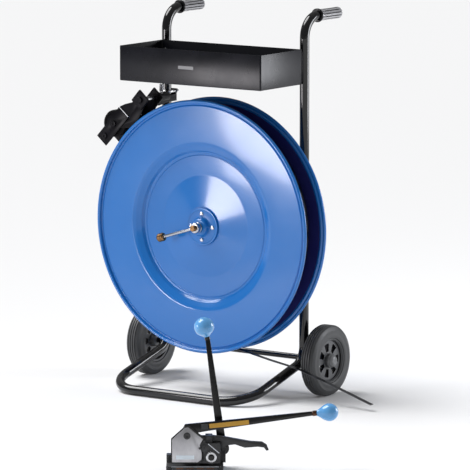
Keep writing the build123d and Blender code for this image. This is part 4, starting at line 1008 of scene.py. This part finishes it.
def makeToolPieces():
    makeKnob("tension")
    makeKnob("sealing")
    inner, outer, deep = ringSizes["inner"], ringSizes["outer"], ringSizes["deep"]
    ring = turned("toolBearing", roundCorners([(inner, 0, 0), (outer, 0, 0), (outer, 0.0022, 0.0006),
        (0.0124, deep, 0.0006), (0.0112, deep, 0.0003), (0.0108, 0.0024, 0.0003), (0.0102, 0.0024, 0.0003),
        (0.0098, deep, 0.0003), (0.0086, deep, 0.0004), (inner, 0.0024, 0.0003)], 3) + [(inner, 0)], ringSeat,
        toolNear, 64, closed=True)
    fit(ring, "hand_tool", "brightZinc", "zinc", "tool_ring")
    # two blank labels, one along the lever and one on the side plate
    tilt = math.atan2(0.1537 - 0.1205, 0.287 + 0.038)
    along = toolRight * math.cos(tilt) + up * math.sin(tilt)
    upward = up * math.cos(tilt) - toolRight * math.sin(tilt)
    middle = onTool(0.0246, 0.075, 0.1215)
    label = plate("leverLabel", roundedBox(*labelSizes["lever"], 0.001), labelSizes["thick"], middle, along,
        upward, 0.0001, 1)
    fit(label, "tension", "amberLabel", "copper_ring")
    tag = plate("plateLabel", roundedBox(*labelSizes["sidePlate"], 0.0008), labelSizes["thick"],
        onTool(0.032, -0.0375, 0.0365), toolRight, up, 0.0001, 1)
    fit(tag, "hand_tool", "paleLabel", "tool_silver")


toolTrim = dict(near=0.027, soleNear=0.034, frameGrow=1.09, bossRadius=0.0185, soleScrew=0.0052)


def onSide(name, outline, thickness, near, finish, slotName, body="hand_tool", soft=0.0002):
    # a thin plate on the tool's near side; the outline is (along, height)
    piece = plate(name, outline, thickness, onTool(near, 0, 0), toolRight, up, soft, 1)
    return fit(piece, body, finish, slotName)


def makeToolTrim():
    t = toolTrim
    r, grow, onPlate, onSole = t["bossRadius"], t["frameGrow"], t["near"], t["soleNear"]
    middleAlong, middleHeight = -0.036, 0.066
    rim = [(-0.0705, 0.0235), (0.0, 0.0235), (0.0077, 0.031), (0.0077, 0.0465), (0.002, 0.0685), (0.009, 0.084),
        (-0.028, 0.114), (-0.038, 0.1125), (-0.0705, 0.083)]
    grown = []
    for a, b in rim:
        grown.append((middleAlong + (a - middleAlong) * grow, middleHeight + (b - middleHeight) * grow, 0.004))
    onSide("plateShadowFrame", roundCorners(grown, 4), 0.0012, 0.0258, "leverEnamel", "tool_dark")
    boss = turned("ringBoss", roundCorners([(r, 0, 0), (r, 0.0012, 0.0008), (r - 0.0015, 0.0016, 0.0005),
        (0.0005, 0.0016, 0)], 3), ringSeat, toolNear, 56)
    fit(boss, "hand_tool", "darkCasting", "tool_dark")
    centre = turned("ringCentre", roundCorners([(0.0074, 0, 0), (0.0074, 0.002, 0.0006), (0.0005, 0.002, 0)],
        3), ringSeat + toolNear * 0.0008, toolNear, 6, angle=30)
    fit(centre, "hand_tool", "leverEnamel", "tool_dark")
    upperBoss = turned("boltBoss", roundCorners([(0.0125, 0, 0), (0.0125, 0.001, 0.0008), (0.0005, 0.0012, 0)],
        3), onTool(onPlate, 0.0115, 0.062), toolNear, 48)
    fit(upperBoss, "hand_tool", "darkCasting", "tool_dark")
    onSide("steelEdge", [(0.020, 0.0705), (0.0225, 0.0715), (0.0505, 0.0475), (0.0485, 0.0455)], 0.0008,
        onPlate, "turnedSteel", "bright_steel")
    onSide("leverBlock", roundCorners([(0.0045, 0.1075, 0.001), (0.0215, 0.1085, 0.001),
        (0.0205, 0.1225, 0.001), (0.0035, 0.1215, 0.001)], 3), 0.0012, 0.0245, "darkCasting", "lever_black",
        "tension")
    for name, low, high in (("soleLineLow", 0.0018, 0.0034), ("soleLineHigh", 0.0118, 0.0128)):
        onSide(name, [(-0.079, low), (0.053, low), (0.053, high), (-0.079, high)], 0.0004, onSole,
            "turnedSteel", "bright_steel", soft=0.0)
    for k in range(4):
        start = -0.060 + 0.026 * k
        onSide("soleSlot" + str(k), [(start, 0.0062), (start + 0.018, 0.0062), (start + 0.018, 0.0098),
            (start, 0.0098)], 0.0003, onSole, "bronzeRing", "tool_dark", soft=0.0)
    for name, along in (("leftSoleScrew", -0.0765), ("rightSoleScrew", 0.0505)):
        r = t["soleScrew"]
        head = turned(name, roundCorners([(r, 0, 0), (r, 0.001, 0.0004), (r - 0.0012, 0.0013, 0.0003),
            (r * 0.55, 0.0013, 0.0002), (r * 0.5, 0.0006, 0.0002), (0.0004, 0.0006, 0)], 3),
            onTool(onSole, along, 0.0075), toolNear, 32)
        fit(head, "hand_tool", "leverEnamel", "tool_dark")


# copies of plain nodes with broken edges
brokenEdges = [
    ("tool_side_plate", "sidePlate", "hand_tool", "satinNickel", "tool_silver", 0.0009),
    ("tool_body", "toolCasting", "hand_tool", "darkCasting", "tool_dark", 0.0012),
    ("tool_base", "toolSole", "hand_tool", "darkCasting", "tool_dark", 0.0008),
    ("tool_screws", "toolScrews", "hand_tool", "darkCasting", "tool_dark", 0.0004),
    ("tension_lever", "tensionBar", "tension", "leverEnamel", "lever_black", 0.0012),
    ("sealing_lever", "sealingBar", "sealing", "leverEnamel", "lever_black", 0.0012),
    ("release_lever", "releaseHandle", "release", "darkCasting", "lever_black", 0.0025),
    ("arm_channel", "armChannel", "hold_down_arm", "plateEnamel", "black_plate", 0.0006),
    ("roller_cheeks", "rollerCheeks", "hold_down_arm", "plateEnamel", "black_plate", 0.0006),
    ("square_lugs", "squareLugs", "hold_down_arm", "plateEnamel", "black_plate", 0.0007),
    ("cheek_bolts", "cheekScrews", "hold_down_arm", "plateEnamel", "black_plate", 0.0004),
    ("tray_brackets", "trayBrackets", "root", "plateEnamel", "black_plate", 0.0007),
    ("brake_hanger", "armHanger", "root", "plateEnamel", "black_plate", 0.0006),
    ("frame_bolts", "frameBolts", "root", "brightZinc", "zinc", 0.0005),
    ("coil_clip", "coilSeal", "reel", "brightZinc", "zinc", 0.0002),
]


def breakEdges():
    for node, name, body, finish, slotName, width in brokenEdges:
        fit(polished(node, name, width), body, finish, slotName, node)


print("stage 5: wheels")
makeWheels()
print("stage 6: grips and tray")
makeGrips()
makeTray()
print("stage 7: spring and roller")
makeSpring()
makePivotShaft()
makeRoller()
print("stage 8: hand tool and small plates")
makeToolPieces()
makeToolTrim()
breakEdges()


# studio
studio = dict(floorSize=160.0, floorColour=(0.86, 0.862, 0.868), skyColour=(1.0, 1.0, 1.0), skyStrength=0.24)
lamps = [
    dict(name="glossBox", place=(-1.25, -1.70, 0.62), aim=(-0.15, 0.3, 0.62), size=0.56,
         power=14, colour=(1.0, 0.96, 1.0)),
    dict(name="sideBox", place=(2.1, 2.2, 0.95), aim=(0.1, -0.1, 0.75), size=1.1,
         power=42, colour=(0.93, 0.95, 1.0)),
]
softSun = dict(elevation=58.0, azimuth=-74.0, spread=40.0, strength=3.2)


def makeFloor():
    deselectAll()
    bpy.ops.mesh.primitive_plane_add(size=studio["floorSize"], location=(0, 0, cadLow.z - 0.0002))
    floor = bpy.context.object
    floor.name = "paleFloor"
    material, tree, shader = newMaterial("paleFloorPaint")
    shader.inputs["Base Color"].default_value = opaque(studio["floorColour"])
    shader.inputs["Roughness"].default_value = 0.8
    floor.data.materials.append(material)


def makeLamp(name, place, aim, size, power, colour):
    light = bpy.data.lights.new(name, "AREA")
    light.size = size
    light.energy = power
    light.color = colour
    lamp = bpy.data.objects.new(name, light)
    bpy.context.scene.collection.objects.link(lamp)
    lamp.location = place
    lamp.rotation_euler = (Vector(aim) - Vector(place)).to_track_quat("-Z", "Y").to_euler()
    lamp.visible_camera = False


def makeSun():
    light = bpy.data.lights.new("softSun", "SUN")
    light.energy = softSun["strength"]
    light.angle = math.radians(softSun["spread"])
    lamp = bpy.data.objects.new("softSun", light)
    bpy.context.scene.collection.objects.link(lamp)
    lamp.rotation_euler = (math.radians(90 - softSun["elevation"]), 0, math.radians(softSun["azimuth"]))


def setTone():
    bpy.context.scene.view_settings.view_transform = "Standard"      # clear, saturated colours


def makeSky():
    world = bpy.data.worlds.new("studioSky")
    bpy.context.scene.world = world
    world.use_nodes = True
    background = world.node_tree.nodes["Background"]
    background.inputs["Color"].default_value = opaque(studio["skyColour"])
    background.inputs["Strength"].default_value = studio["skyStrength"]


viewpoint = dict(place=(6.4782, -9.2280, 2.1708), azimuth=34.81, down=8.38, lens=323.6, shiftX=-0.0059)


def makeCamera():
    camera = bpy.data.cameras.new("mainCamera")
    camera.sensor_width = 36.0
    camera.lens = viewpoint["lens"]
    camera.shift_x = viewpoint["shiftX"]
    camera.clip_end = 200.0
    holder = bpy.data.objects.new("mainCamera", camera)
    bpy.context.scene.collection.objects.link(holder)
    holder.location = viewpoint["place"]
    holder.rotation_euler = (math.radians(90 - viewpoint["down"]), 0, math.radians(viewpoint["azimuth"]))
    bpy.context.scene.camera = holder


makeFloor()
for lampValues in lamps:
    makeLamp(**lampValues)
makeSun()
makeSky()
setTone()
makeCamera()
print("stage 9: studio ready")
